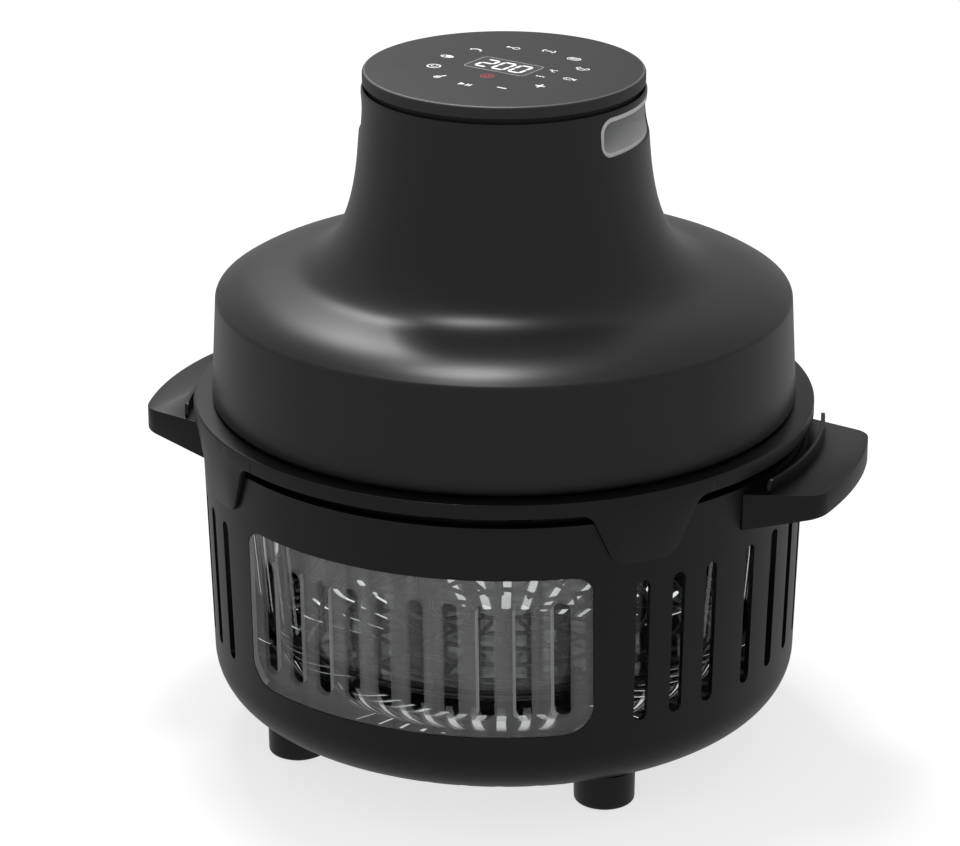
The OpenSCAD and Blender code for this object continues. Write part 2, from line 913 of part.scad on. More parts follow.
module head_screws() {
    color(steel)
        at_head_screws()
            translate([0, 0, base_ring_z + fit / 2]) {
                cylinder(r = screw_head_r, h = screw_head_h);
                cylinder(r = screw_r, h = base_ring_top_z - base_ring_z + 12);
            }
}

module touch_panel() {
    outline = concat(
        [[0, panel_top_z - panel_skin], [panel_r - 2.2, panel_top_z - panel_skin],
         [panel_r - 2.2, panel_low_z], [panel_r, panel_low_z]],
        arc([panel_r - panel_round, panel_top_z - panel_round], panel_round, 0, 90, 5),
        [[0, panel_top_z]]
    );
    color([0.13, 0.13, 0.14]) rotate_extrude() polygon(outline);
}

// Places the children on the panel's own turned axes, at a height
module on_panel(z) {
    translate([0, 0, z]) rotate([0, 0, panel_turn]) children();
}

module display_cut(grow, z, h) {
    on_panel(z)
        translate([display_offset[0] - display_w / 2 - grow,
                   display_offset[1] - display_d / 2 - grow, 0])
            cube([display_w + 2 * grow, display_d + 2 * grow, h]);
}

module panel_carrier() {
    color(black)
        difference() {
            union() {
                ring(carrier_r, carrier_r - 3, carrier_low_z, carrier_top_z - carrier_low_z);
                translate([0, 0, carrier_floor_z]) cylinder(r = carrier_r - 1, h = carrier_t);
            }
            display_cut(fit, carrier_floor_z - 1, carrier_t + 2);
        }
}

module display_module() {
    low = control_board_z + board_t;
    color([0.75, 0.77, 0.8]) display_cut(0, low, carrier_top_z - low - fit);
}

module control_board() {
    color(board_green)
        union() {
            translate([0, 0, control_board_z]) cylinder(r = control_board_r, h = board_t);
            on_panel(control_board_z - 1)
                translate([-6, 14, 0]) cube([12, 12, 1 + eps]);
        }
}

module power_board() {
    z = power_board_z + board_t;
    color(board_green)
        union() {
            translate([0, 0, power_board_z]) cylinder(r = power_board_r, h = board_t);
            // relay, transformer, capacitor and choke
            translate([-44, -16, z - eps]) cube([19, 15, 10]);
            translate([4, -38, z - eps]) cube([24, 20, 10.5]);
            translate([-12, 26, z - eps]) cylinder(r = 7, h = 10);
            translate([24, 20, z - eps]) cylinder(r = 9, h = 8);
        }
}

// The pocket behind the grip opening of the +X side
module grip_liner() {
    mid_z = grip_low_z + grip_h / 2;
    color([0.62, 0.63, 0.64])
        difference() {
            intersection() {
                along_x(grip_floor_x, cut_reach) grip_outline(fit);
                translate([0, 0, grip_low_z - 1]) cylinder(r = grip_face_r, h = grip_h + 2);
            }
            along_x(grip_floor_x + grip_wall, cut_reach) grip_outline(grip_wall);
            for (i = [0:vents - 1])
                translate([grip_floor_x - 1, (i - (vents - 1) / 2) * vent_pitch - vent_w / 2,
                           mid_z - vent_h / 2])
                    cube([grip_wall + 2, vent_w, vent_h]);
        }
}

module grip_liner_right() {
    grip_liner();
}

module grip_liner_left() {
    mirror([1, 0, 0]) grip_liner();
}

module cord_gland() {
    color(black)
        translate([0, 0, gland_z])
            rotate([-90, 0, 0])
                difference() {
                    union() {
                        translate([0, 0, gland_in_y])
                            cylinder(r = gland_r, h = gland_face_y - gland_in_y + eps);
                        translate([0, 0, gland_face_y])
                            cylinder(r = gland_flange_r, h = gland_flange_t);
                        translate([0, 0, gland_in_y - eps])
                            cylinder(r = gland_flange_r, h = gland_nut_t, $fn = 6);
                    }
                    translate([0, 0, gland_in_y - 1])
                        cylinder(r = cord_hole_r,
                                 h = gland_face_y - gland_in_y + gland_flange_t + 2);
                }
}

module interlock_switch() {
    color([0.8, 0.8, 0.78])
        rotate([0, 0, switch_az])
            translate([head_screw_r - 2, -8, base_ring_top_z + sheet_t])
                cube([4, 16, 3]);
}

// Hot section

reflector_path = concat(
    [[reflector_r, base_ring_z + 1], [reflector_r, reflector_top_z - reflector_round]],
    arc([reflector_r - reflector_round, reflector_top_z - reflector_round],
        reflector_round, 10, 80, 6),
    [[reflector_r - reflector_round, reflector_top_z], [shaft_hole_r, reflector_top_z]]
);

module heat_reflector() {
    color(steel)
        difference() {
            union() {
                rotate_extrude() polygon(wall_outline(reflector_path, sheet_t));
                ring(flange_r, reflector_r - sheet_t / 2, base_ring_top_z, sheet_t);
            }
            at_head_screws()
                translate([0, 0, base_ring_top_z - 1]) cylinder(r = screw_hole_r, h = 3);
            at_heater_legs() cylinder(r = terminal_r - 1.5, h = tall);
            at_probe() cylinder(r = probe_r + fit, h = tall);
            at_spacers() cylinder(r = screw_hole_r, h = tall);
        }
}

module at_heater_legs() {
    for (side = [-1, 1]) translate([side * heater_leg_x, heater_r, 0]) children();
}

module at_probe() {
    rotate([0, 0, probe_angle])
        translate([(heater_r + heater_inner_r) / 2, 0, 0]) children();
}

module at_spacers() {
    around(spacers, 45) translate([spacer_ring_r, 0, 0]) children();
}

module insulation_disc() {
    color([0.8, 0.76, 0.66])
        difference() {
            ring(insulation_out_r, insulation_in_r, reflector_top_z, insulation_t);
            at_heater_legs() cylinder(r = terminal_r + fit, h = tall);
            at_probe() cylinder(r = probe_flange_r + fit, h = tall);
        }
}

module fan_guard() {
    outer = reflector_r - sheet_t - guard_wire_r + weld;
    color(steel)
        union() {
            wire_ring(outer, guard_wire_r, guard_z);
            for (i = [1:guard_rings])
                wire_ring(outer * i / (guard_rings + 1), guard_wire_r, guard_z);
            around(6)
                wire_bar(guard_wire_r, outer / (guard_rings + 1), outer,
                         guard_z + 2 * guard_wire_r - weld);
        }
}

module heater_coil() {
    color([0.3, 0.29, 0.28])
        union() {
            torus(heater_r, heater_tube_r, heater_z);
            torus(heater_inner_r, heater_tube_r, heater_z);
            translate([0, 0, heater_z])
                rotate([0, 0, 90]) rod_x(heater_tube_r, heater_inner_r, heater_r);
            at_heater_legs()
                translate([0, 0, heater_z])
                    cylinder(r = heater_tube_r, h = reflector_top_z - heater_z + 12);
        }
}

module heater_terminals() {
    color([0.9, 0.89, 0.85])
        at_heater_legs()
            translate([0, 0, reflector_top_z]) {
                difference() {
                    cylinder(r = terminal_r, h = insulation_t + 3);
                    translate([0, 0, -1]) cylinder(r = heater_tube_r + fit, h = 10);
                }
            }
}

module temperature_probe() {
    color(steel)
        at_probe()
            union() {
                translate([0, 0, heater_z])
                    cylinder(r = probe_r, h = reflector_top_z - heater_z + 5);
                translate([0, 0, reflector_top_z])
                    cylinder(r = probe_flange_r, h = probe_flange_t);
            }
}

module thermal_fuse() {
    color([0.85, 0.83, 0.78])
        rotate([0, 0, fuse_angle])
            translate([(insulation_in_r + insulation_out_r) / 2, 0,
                       reflector_top_z + insulation_t + fuse_r])
                rotate([90, 0, 0])
                    cylinder(r = fuse_r, h = fuse_l, center = true);
}

// Motor and what it turns

module bracket_spacers() {
    color(steel)
        at_spacers() ring(spacer_r, screw_hole_r, reflector_top_z, spacer_h);
}

module motor_bracket() {
    color(steel)
        difference() {
            translate([0, 0, bracket_z]) cylinder(r = bracket_r, h = bracket_t);
            translate([0, 0, bracket_z - 1]) cylinder(r = bearing_r + 4, h = bracket_t + 2);
            at_spacers() cylinder(r = screw_hole_r, h = tall);
        }
}

module motor_screws() {
    low = reflector_top_z - sheet_t - screw_head_h;
    color(steel)
        at_spacers()
            translate([0, 0, low]) {
                cylinder(r = screw_head_r, h = screw_head_h);
                cylinder(r = screw_r, h = bracket_z + bracket_t + 3 - low);
                // nut on top of the bracket
                translate([0, 0, bracket_z + bracket_t - low])
                    cylinder(r = screw_head_r + 0.4, h = 2.4, $fn = 6);
            }
}

module motor_can() {
    seat_r = bearing_r + 2;
    color(dark)
        difference() {
            union() {
                difference() {
                    translate([0, 0, motor_z]) cylinder(r = motor_r, h = motor_h);
                    translate([0, 0, motor_z + can_wall])
                        cylinder(r = motor_r - can_wall, h = motor_h - 2 * can_wall);
                }
                translate([0, 0, motor_z]) cylinder(r = seat_r, h = bearing_h);
                translate([0, 0, motor_z + motor_h - bearing_h])
                    cylinder(r = seat_r, h = bearing_h);
            }
            translate([0, 0, motor_z - 1]) cylinder(r = bearing_r, h = motor_h + 2);
            around(8, 22.5)
                translate([motor_r - 10, -3, motor_z + motor_h - can_wall - 1])
                    cube([6, 6, 4]);
        }
}

module motor_stator() {
    color(copper) ring(stator_r, stator_bore_r, stator_z, stator_h);
}

module motor_bearings() {
    color([0.8, 0.65, 0.4])
        for (z = [motor_z, motor_z + motor_h - bearing_h])
            ring(bearing_r, shaft_r + shaft_gap, z, bearing_h);
}

module motor_shaft() {
    color(steel)
        translate([0, 0, shaft_low_z]) cylinder(r = shaft_r, h = shaft_top_z - shaft_low_z);
}

module motor_rotor() {
    color(steel) ring(stator_bore_r - running, shaft_r, stator_z, stator_h);
}

// A fan on the shaft: a hub, a disc and upright blades on one side of the disc
module fan(r, z_disc, blades, blade_h, blade_from, side) {
    low = side < 0 ? z_disc - blade_h : z_disc;
    difference() {
        union() {
            translate([0, 0, z_disc]) cylinder(r = r, h = blade_t);
            translate([0, 0, side < 0 ? z_disc - hub_h + blade_t : z_disc])
                cylinder(r = hub_r, h = hub_h);
            around(blades)
                translate([blade_from, 0, low])
                    rotate([0, 0, 25])
                        translate([0, -blade_t / 2, 0])
                            cube([r - blade_from - 4, blade_t, blade_h + blade_t / 2]);
        }
        cylinder(r = shaft_r, h = tall);
    }
}

module cooling_fan() {
    color([0.75, 0.75, 0.72]) fan(cool_fan_r, cool_fan_z, cool_blades, cool_blade_h, 16, 1);
}

module circulation_fan() {
    color(steel) fan(hot_fan_r, hot_fan_z, hot_blades, hot_blade_h, 18, -1);
}

module fan_nut() {
    color(steel)
        translate([0, 0, hot_fan_z + blade_t - hub_h - nut_h])
            difference() {
                cylinder(r = nut_r, h = nut_h, $fn = 6);
                translate([0, 0, -1]) cylinder(r = shaft_r, h = nut_h + 2);
            }
}

basket_shell();
viewing_window();
collar_ring();
handle_left();
handle_right();
handle_screws();
collar_screws();
base_feet();
foot_pads();
foot_screws();
interlock_magnet();
glass_bowl();
bowl_rim_seal();
crisper_rack();
rack_feet();
head_shell();
head_base_ring();
head_gasket();
head_screws();
touch_panel();
panel_carrier();
display_module();
control_board();
power_board();
grip_liner_left();
grip_liner_right();
cord_gland();
interlock_switch();
heat_reflector();
insulation_disc();
fan_guard();
heater_coil();
heater_terminals();
temperature_probe();
thermal_fuse();
motor_bracket();
bracket_spacers();
motor_screws();
motor_can();
motor_stator();
motor_bearings();
motor_shaft();
motor_rotor();
cooling_fan();
circulation_fan();
fan_nut();
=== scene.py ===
"""Looks of a table-top hot-air fryer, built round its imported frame.

The frame gives every place and overall size in metres. Each sub-assembly is a class
that models its pieces by hand-style operators, dresses them in procedural finishes and
lets them ride on the frame's bodies.
"""

from __future__ import annotations

import json
import logging
import math
from dataclasses import dataclass, field
from enum import Enum
from typing import Callable, Iterable, Sequence

import bpy
from mathutils import Matrix, Vector

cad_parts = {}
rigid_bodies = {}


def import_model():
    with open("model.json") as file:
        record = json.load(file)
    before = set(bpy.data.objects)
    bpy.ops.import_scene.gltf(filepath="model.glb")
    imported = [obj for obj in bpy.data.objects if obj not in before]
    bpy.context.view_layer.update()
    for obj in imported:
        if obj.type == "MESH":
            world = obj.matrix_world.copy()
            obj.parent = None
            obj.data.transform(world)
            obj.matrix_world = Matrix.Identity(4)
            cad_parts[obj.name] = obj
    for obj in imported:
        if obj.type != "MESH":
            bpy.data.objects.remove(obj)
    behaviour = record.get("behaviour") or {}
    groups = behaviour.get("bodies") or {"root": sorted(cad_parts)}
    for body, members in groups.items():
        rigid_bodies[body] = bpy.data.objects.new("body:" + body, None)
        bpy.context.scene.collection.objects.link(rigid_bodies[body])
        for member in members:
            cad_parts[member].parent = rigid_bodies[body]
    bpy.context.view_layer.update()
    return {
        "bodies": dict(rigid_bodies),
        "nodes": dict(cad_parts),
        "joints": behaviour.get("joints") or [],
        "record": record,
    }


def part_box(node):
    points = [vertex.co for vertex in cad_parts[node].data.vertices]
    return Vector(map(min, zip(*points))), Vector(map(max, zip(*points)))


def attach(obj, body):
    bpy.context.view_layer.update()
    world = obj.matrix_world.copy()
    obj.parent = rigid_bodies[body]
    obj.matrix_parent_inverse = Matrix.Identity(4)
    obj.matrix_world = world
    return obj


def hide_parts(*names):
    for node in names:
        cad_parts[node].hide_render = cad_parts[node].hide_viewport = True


LOG = logging.getLogger("fryer")
MM = 0.001
Point = tuple[float, float]
Point3 = tuple[float, float, float]


class Body(str, Enum):
    """The frame's moving bodies."""

    BASE = "base"
    BOWL = "bowl"
    RACK = "rack"
    HEAD = "head"
    ROTOR = "rotor"


# --------------------------------------------------------------------------
# Plane geometry
# --------------------------------------------------------------------------


def arc(centre: Point, radius: float, start: float, end: float, steps: int) -> list[Point]:
    """Points on part of a circle.

    Args:
        centre: Middle of the circle.
        radius: Its radius.
        start: First angle, in degrees.
        end: Last angle, in degrees.
        steps: Number of chords.

    Returns:
        The points from start to end.
    """
    angles = [math.radians(start + (end - start) * i / steps) for i in range(steps + 1)]
    return [(centre[0] + radius * math.cos(a), centre[1] + radius * math.sin(a)) for a in angles]


def bezier(a: Point, b: Point, c: Point, d: Point, steps: int) -> list[Point]:
    """Points on a cubic curve, without its first point.

    Args:
        a: Start.
        b: First control point.
        c: Second control point.
        d: End.
        steps: Number of chords.

    Returns:
        The points after a, up to d.
    """
    points = []
    for i in range(1, steps + 1):
        t = i / steps
        u = 1 - t
        weights = (u ** 3, 3 * u * u * t, 3 * u * t * t, t ** 3)
        points.append(tuple(sum(w * p[k] for w, p in zip(weights, (a, b, c, d))) for k in (0, 1)))
    return points


def rounded(points: Sequence[Point], radii: Sequence[float], steps: int = 8) -> list[Point]:
    """A closed outline with each corner rounded by its own radius.

    Args:
        points: The corners in order.
        radii: One radius for each corner.
        steps: Chords in each round corner.

    Returns:
        The outline's points.
    """
    outline: list[Point] = []
    count = len(points)
    for i, radius in enumerate(radii):
        here = Vector(points[i])
        to_before = (Vector(points[i - 1]) - here).normalized()
        to_after = (Vector(points[(i + 1) % count]) - here).normalized()
        if radius <= 0:
            outline.append(tuple(here))
            continue
        half = to_before.angle(to_after) / 2
        centre = here + (to_before + to_after).normalized() * radius / math.sin(half)
        reach = radius / math.tan(half)
        first = here + to_before * reach - centre
        last = here + to_after * reach - centre
        start = math.degrees(math.atan2(first.y, first.x))
        sweep = (math.degrees(math.atan2(last.y, last.x)) - start + 540) % 360 - 180
        outline += arc(tuple(centre), radius, start, start + sweep, steps)
    return outline


def rectangle(centre: Point, size: Point, radius: float, steps: int = 8) -> list[Point]:
    """A rectangle with round corners.

    Args:
        centre: Its middle.
        size: Its width and height.
        radius: Corner radius.
        steps: Chords in each corner.

    Returns:
        The outline's points.
    """
    (x, y), (w, h) = centre, (size[0] / 2, size[1] / 2)
    corners = [(x - w, y - h), (x + w, y - h), (x + w, y + h), (x - w, y + h)]
    return rounded(corners, [radius] * 4, steps)


# --------------------------------------------------------------------------
# Modelling by operators
# --------------------------------------------------------------------------


class Plane(Enum):
    """Which way a flat outline is drawn: its two axes, and the axis it is pushed along."""

    XY = (0, 1, 2)
    XZ = (0, 2, 1)
    YZ = (1, 2, 0)


def deselect() -> None:
    """Leaves nothing selected."""
    for item in list(bpy.context.selected_objects):
        item.select_set(False)


def pick(piece: bpy.types.Object) -> None:
    """Makes the piece the only selected and the active object."""
    deselect()
    piece.select_set(True)
    bpy.context.view_layer.objects.active = piece


def settle(piece: bpy.types.Object) -> bpy.types.Object:
    """Applies the piece's transforms, so that its place is in its mesh."""
    pick(piece)
    bpy.ops.object.transform_apply(location=True, rotation=True, scale=True)
    return piece


def name_piece(piece: bpy.types.Object, name: str) -> bpy.types.Object:
    """Names a piece and its mesh."""
    piece.name = name
    piece.data.name = name
    return piece


def edit(piece: bpy.types.Object, work: Callable[[], None]) -> bpy.types.Object:
    """Runs some edit-mode operators on a piece.

    Args:
        piece: The object to shape.
        work: What to do in edit mode.

    Returns:
        The same object.
    """
    pick(piece)
    bpy.ops.object.mode_set(mode="EDIT")
    work()
    bpy.ops.object.mode_set(mode="OBJECT")
    return piece


def modify(piece: bpy.types.Object, kind: str, **settings: object) -> bpy.types.Object:
    """Adds a modifier with these settings and applies it.

    Args:
        piece: The object to change.
        kind: The modifier's type.
        settings: Its properties.

    Returns:
        The same object.
    """
    pick(piece)
    modifier = piece.modifiers.new(kind.lower(), kind)
    for key, value in settings.items():
        setattr(modifier, key, value)
    bpy.ops.object.modifier_apply(modifier=modifier.name)
    return piece


def soften(piece: bpy.types.Object, width: float, segments: int = 2,
           angle: float = 35) -> bpy.types.Object:
    """Rounds the edges that are sharper than an angle.

    Args:
        piece: The object to bevel.
        width: Bevel width.
        segments: Rows in the bevel.
        angle: Least angle between faces, in degrees.

    Returns:
        The same object.
    """
    return modify(piece, "BEVEL", width=width, segments=segments, limit_method="ANGLE",
                  angle_limit=math.radians(angle), use_clamp_overlap=True, harden_normals=False)


def smooth(piece: bpy.types.Object, angle: float = 32) -> bpy.types.Object:
    """Shades a piece smooth, apart from edges sharper than an angle in degrees."""
    pick(piece)
    bpy.ops.object.shade_smooth_by_angle(angle=math.radians(angle))
    return piece


def merge(piece: bpy.types.Object, gap: float = 1e-6) -> bpy.types.Object:
    """Joins doubled points and turns all faces outwards."""

    def work() -> None:
        """Join close points and turn the normals outwards."""
        bpy.ops.mesh.select_all(action="SELECT")
        bpy.ops.mesh.remove_doubles(threshold=gap)
        bpy.ops.mesh.normals_make_consistent(inside=False)

    return edit(piece, work)


def joined(pieces: Sequence[bpy.types.Object], name: str) -> bpy.types.Object:
    """Joins separate meshes into one object.

    Args:
        pieces: The meshes.
        name: Name of the result.

    Returns:
        The joined object.
    """
    deselect()
    for piece in pieces:
        piece.select_set(True)
    bpy.context.view_layer.objects.active = pieces[0]
    if len(pieces) > 1:
        bpy.ops.object.join()
    return name_piece(pieces[0], name)


def copied(piece: bpy.types.Object, place: Matrix) -> bpy.types.Object:
    """A copy with its own mesh, moved by a matrix."""
    twin = piece.copy()
    twin.data = piece.data.copy()
    bpy.context.scene.collection.objects.link(twin)
    twin.data.transform(place)
    if place.determinant() < 0:
        twin.data.flip_normals()
    return twin


def around(piece: bpy.types.Object, angles: Iterable[float], name: str) -> bpy.types.Object:
    """Repeats a piece about the vertical axis.

    Args:
        piece: The piece at angle zero, which is used up.
        angles: Degrees, one for each copy.
        name: Name of the joined result.

    Returns:
        All copies as one object.
    """
    twins = [copied(piece, Matrix.Rotation(math.radians(a), 4, "Z")) for a in angles]
    bpy.data.objects.remove(piece)
    return joined(twins, name)


def lathe(name: str, profile: Sequence[Point], segments: int, closed: bool = False,
          centre: Point = (0, 0)) -> bpy.types.Object:
    """Turns a profile about an upright axis, by extruding and scaling a circle.

    Args:
        name: Name of the object.
        profile: Radius and height of each point.
        segments: Faces round the axis.
        closed: Whether the last loop is bridged to the first.
        centre: Where the axis stands.

    Returns:
        The turned object. A profile that starts or ends on the axis is closed there.
    """
    tip = 1e-5
    start_r, start_z = max(profile[0][0], tip), profile[0][1]
    axis = Vector((*centre, start_z))
    deselect()
    bpy.ops.mesh.primitive_circle_add(vertices=segments, radius=start_r, location=axis)
    piece = settle(bpy.context.object)

    def work() -> None:
        """Extrude the ring from one profile point to the next."""
        bpy.ops.mesh.select_all(action="SELECT")
        radius, height = start_r, start_z
        for next_r, next_z in profile[1:]:
            next_r = max(next_r, tip)
            bpy.ops.mesh.extrude_edges_move(
                TRANSFORM_OT_translate={"value": (0, 0, next_z - height)})
            grow = next_r / radius
            bpy.ops.transform.resize(value=(grow, grow, 1), center_override=(*centre, next_z))
            radius, height = next_r, next_z
        if closed:
            bpy.ops.mesh.select_all(action="DESELECT")
            bpy.ops.mesh.select_non_manifold(extend=False)
            bpy.ops.mesh.bridge_edge_loops()
        bpy.ops.mesh.select_all(action="SELECT")
        bpy.ops.mesh.remove_doubles(threshold=4 * tip)
        bpy.ops.mesh.normals_make_consistent(inside=False)

    return name_piece(edit(piece, work), name)


def prism(name: str, outline: Sequence[Point], low: float, high: float,
          plane: Plane = Plane.XY) -> bpy.types.Object:
    """Pushes a flat outline out into a solid.

    Args:
        name: Name of the object.
        outline: Its points, on the plane's two axes.
        low: Where it starts along the third axis.
        high: Where it ends.
        plane: The plane that the outline is drawn on.

    Returns:
        The closed solid.
    """
    deselect()
    bpy.ops.mesh.primitive_circle_add(vertices=len(outline), radius=1, fill_type="NGON")
    piece = bpy.context.object
    first, second, third = plane.value
    for vertex, (u, v) in zip(piece.data.vertices, outline):
        place = [0.0, 0.0, 0.0]
        place[first], place[second], place[third] = u, v, low
        vertex.co = place
    push = [0.0, 0.0, 0.0]
    push[third] = high - low

    def work() -> None:
        """Push the face out and turn the normals outwards."""
        bpy.ops.mesh.select_all(action="SELECT")
        bpy.ops.mesh.extrude_region_move(TRANSFORM_OT_translate={"value": push})
        bpy.ops.mesh.select_all(action="SELECT")
        bpy.ops.mesh.normals_make_consistent(inside=False)

    return name_piece(edit(piece, work), name)


def wire(name: str, points: Sequence[Point3], radius: float, cyclic: bool = False,
         sides: int = 3, poly: bool = False) -> bpy.types.Object:
    """A round wire along a smooth line.

    Args:
        name: Name of the object.
        points: What the line passes through.
        radius: The wire's radius.
        cyclic: Whether its ends meet.
        sides: Bevel resolution of the wire's section.
        poly: Whether the line runs straight from point to point.

    Returns:
        The wire as a mesh.
    """
    curve = bpy.data.curves.new(name, "CURVE")
    curve.dimensions = "3D"
    curve.resolution_u = 6
    curve.bevel_depth = radius
    curve.bevel_resolution = sides
    curve.use_fill_caps = True
    spline = curve.splines.new("POLY" if poly else "BEZIER")
    if poly:
        spline.points.add(len(points) - 1)
        for knot, place in zip(spline.points, points):
            knot.co = (*place, 1)
    else:
        spline.bezier_points.add(len(points) - 1)
        for knot, place in zip(spline.bezier_points, points):
            knot.co = place
            knot.handle_left_type = knot.handle_right_type = "AUTO"
    spline.use_cyclic_u = cyclic
    piece = bpy.data.objects.new(name, curve)
    bpy.context.scene.collection.objects.link(piece)
    pick(piece)
    bpy.ops.object.convert(target="MESH")
    return name_piece(bpy.context.object, name)


def hoop(name: str, radius: float, height: float, wire_r: float, count: int = 96) -> bpy.types.Object:
    """A ring of round wire about the vertical axis."""
    deselect()
    bpy.ops.mesh.primitive_torus_add(
        major_radius=radius, minor_radius=wire_r, major_segments=count, minor_segments=10,
        location=(0, 0, height))
    return name_piece(settle(bpy.context.object), name)


def boolean(piece: bpy.types.Object, tool: bpy.types.Object,
            operation: str = "DIFFERENCE") -> bpy.types.Object:
    """Cuts, joins or intersects a piece with a tool, which is used up.

    Args:
        piece: The object to change.
        tool: The other object.
        operation: The boolean's kind.

    Returns:
        The changed piece.
    """
    modify(piece, "BOOLEAN", object=tool, operation=operation, solver="EXACT")
    bpy.data.objects.remove(tool)
    return piece


def paint_faces(piece: bpy.types.Object, material: bpy.types.Material,
                wanted: Callable[[bpy.types.MeshPolygon], bool]) -> None:
    """Gives the wanted faces a second material.

    Args:
        piece: The object.
        material: The second material.
        wanted: Says which faces take it.
    """
    piece.data.materials.append(material)
    index = len(piece.data.materials) - 1
    for face in piece.data.polygons:
        if wanted(face):
            face.material_index = index


# --------------------------------------------------------------------------
# Finishes
# --------------------------------------------------------------------------


class Shader:
    """A material's node tree with a Principled shader, built up step by step."""

    def __init__(self, name: str) -> None:
        """Starts a new material."""
        self.material = bpy.data.materials.new(name)
        self.material.use_nodes = True
        self.tree = self.material.node_tree
        self.surface = self.tree.nodes["Principled BSDF"]
        self.coordinates = self.tree.nodes.new("ShaderNodeTexCoord")

    def value(self, **sockets: object) -> "Shader":
        """Sets sockets of the shader, with underscores for spaces."""
        for key, amount in sockets.items():
            self.surface.inputs[key.replace("_", " ")].default_value = amount
        return self

    def noise(self, scale: float, detail: float = 3,
              stretch: Point3 = (1, 1, 1)) -> bpy.types.NodeSocket:
        """A noise pattern on object coordinates.

        Args:
            scale: Repeats in a metre.
            detail: Octaves.
            stretch: Scale on each axis.

        Returns:
            The pattern's value.
        """
        mapping = self.tree.nodes.new("ShaderNodeMapping")
        mapping.inputs["Scale"].default_value = stretch
        texture = self.tree.nodes.new("ShaderNodeTexNoise")
        texture.inputs["Scale"].default_value = scale
        texture.inputs["Detail"].default_value = detail
        self.tree.links.new(self.coordinates.outputs["Object"], mapping.inputs["Vector"])
        self.tree.links.new(mapping.outputs["Vector"], texture.inputs["Vector"])
        return texture.outputs["Fac"]

    def ramp(self, source: bpy.types.NodeSocket, low: object, high: object) -> bpy.types.NodeSocket:
        """Turns a pattern into a range between two colours or two grey values.

        Args:
            source: The pattern.
            low: Colour or value at its dark end.
            high: Colour or value at its light end.

        Returns:
            The colour output.
        """
        node = self.tree.nodes.new("ShaderNodeValToRGB")
        for element, place, level in zip(node.color_ramp.elements, (0.3, 0.7), (low, high)):
            element.position = place
            element.color = (*level, 1) if isinstance(level, tuple) else (level, level, level, 1)
        self.tree.links.new(source, node.inputs["Fac"])
        return node.outputs["Color"]

    def link(self, source: bpy.types.NodeSocket, socket: str) -> "Shader":
        """Drives a socket of the shader."""
        self.tree.links.new(source, self.surface.inputs[socket])
        return self

    def bump(self, source: bpy.types.NodeSocket, strength: float, distance: float) -> "Shader":
        """Adds fine relief.

        Args:
            source: The height pattern.
            strength: How much of it shows.
            distance: Height in metres.

        Returns:
            This shader.
        """
        node = self.tree.nodes.new("ShaderNodeBump")
        node.inputs["Strength"].default_value = strength
        node.inputs["Distance"].default_value = distance
        self.tree.links.new(source, node.inputs["Height"])
        self.tree.links.new(node.outputs["Normal"], self.surface.inputs["Normal"])
        return self


@dataclass(frozen=True)
class MouldedPlastic:
    """Spark-eroded plastic: a fine even grain, and a sheen that varies slightly."""

    name: str
    tone: Point3
    roughness: float = 0.42
    grain: float = 1500
    relief: float = 0.12
    specular: float = 0.5

    def build(self) -> bpy.types.Material:
        """Builds the material."""
        shader = Shader(self.name)
        shader.value(Specular_IOR_Level=self.specular)
        cloud = shader.noise(22, 2)
        grain = shader.noise(self.grain, 2)
        darker = tuple(c * 0.86 for c in self.tone)
        lighter = tuple(c * 1.14 for c in self.tone)
        shader.link(shader.ramp(grain, darker, lighter), "Base Color")
        shader.link(shader.ramp(cloud, self.roughness * 0.94, self.roughness * 1.06), "Roughness")
        return shader.bump(grain, self.relief, 0.00004).material


@dataclass(frozen=True)
class PaintedReflectionPane:
    """Thin see-through pane whose grey veil, with faint upright streaks, is painted reflection;
    see-through by its alpha.
    """

    name: str
    tone: Point3
    alpha: float
    roughness: float = 0.12

    def build(self) -> bpy.types.Material:
        """Builds the material."""
        shader = Shader(self.name)
        shader.value(Alpha=self.alpha, Roughness=self.roughness, Specular_IOR_Level=0.35)
        streaks = shader.noise(160, 2, (1, 1, 0.03))
        darker = tuple(c * 0.8 for c in self.tone)
        lighter = tuple(c * 1.2 for c in self.tone)
        return shader.link(shader.ramp(streaks, darker, lighter), "Base Color").material


@dataclass(frozen=True)
class ClearPiece:
    """Clear glass that bends light."""

    name: str
    tone: Point3
    roughness: float = 0.02
    ior: float = 1.47

    def build(self) -> bpy.types.Material:
        """Builds the material."""
        shader = Shader(self.name)
        shader.value(IOR=self.ior, Transmission_Weight=1.0)
        flow = shader.noise(35, 1, (1, 1, 0.4))
        shader.link(shader.ramp(flow, tuple(c * 0.97 for c in self.tone), self.tone), "Base Color")
        shader.link(shader.ramp(flow, self.roughness, self.roughness + 0.015), "Roughness")
        return shader.bump(flow, 0.02, 0.0003).material


@dataclass(frozen=True)
class Metal:
    """Rolled, turned or plated metal with fine lines."""

    name: str
    tone: Point3
    roughness: float = 0.3
    lines: Point3 = (1, 1, 12)
    relief: float = 0.08

    def build(self) -> bpy.types.Material:
        """Builds the material."""
        shader = Shader(self.name)
        shader.value(Metallic=1.0)
        scratch = shader.noise(420, 4, self.lines)
        stain = shader.noise(30, 3)
        shader.link(shader.ramp(stain, tuple(c * 0.85 for c in self.tone), self.tone), "Base Color")
        shader.link(shader.ramp(scratch, self.roughness * 0.8, self.roughness * 1.25), "Roughness")
        return shader.bump(scratch, self.relief, 0.00005).material


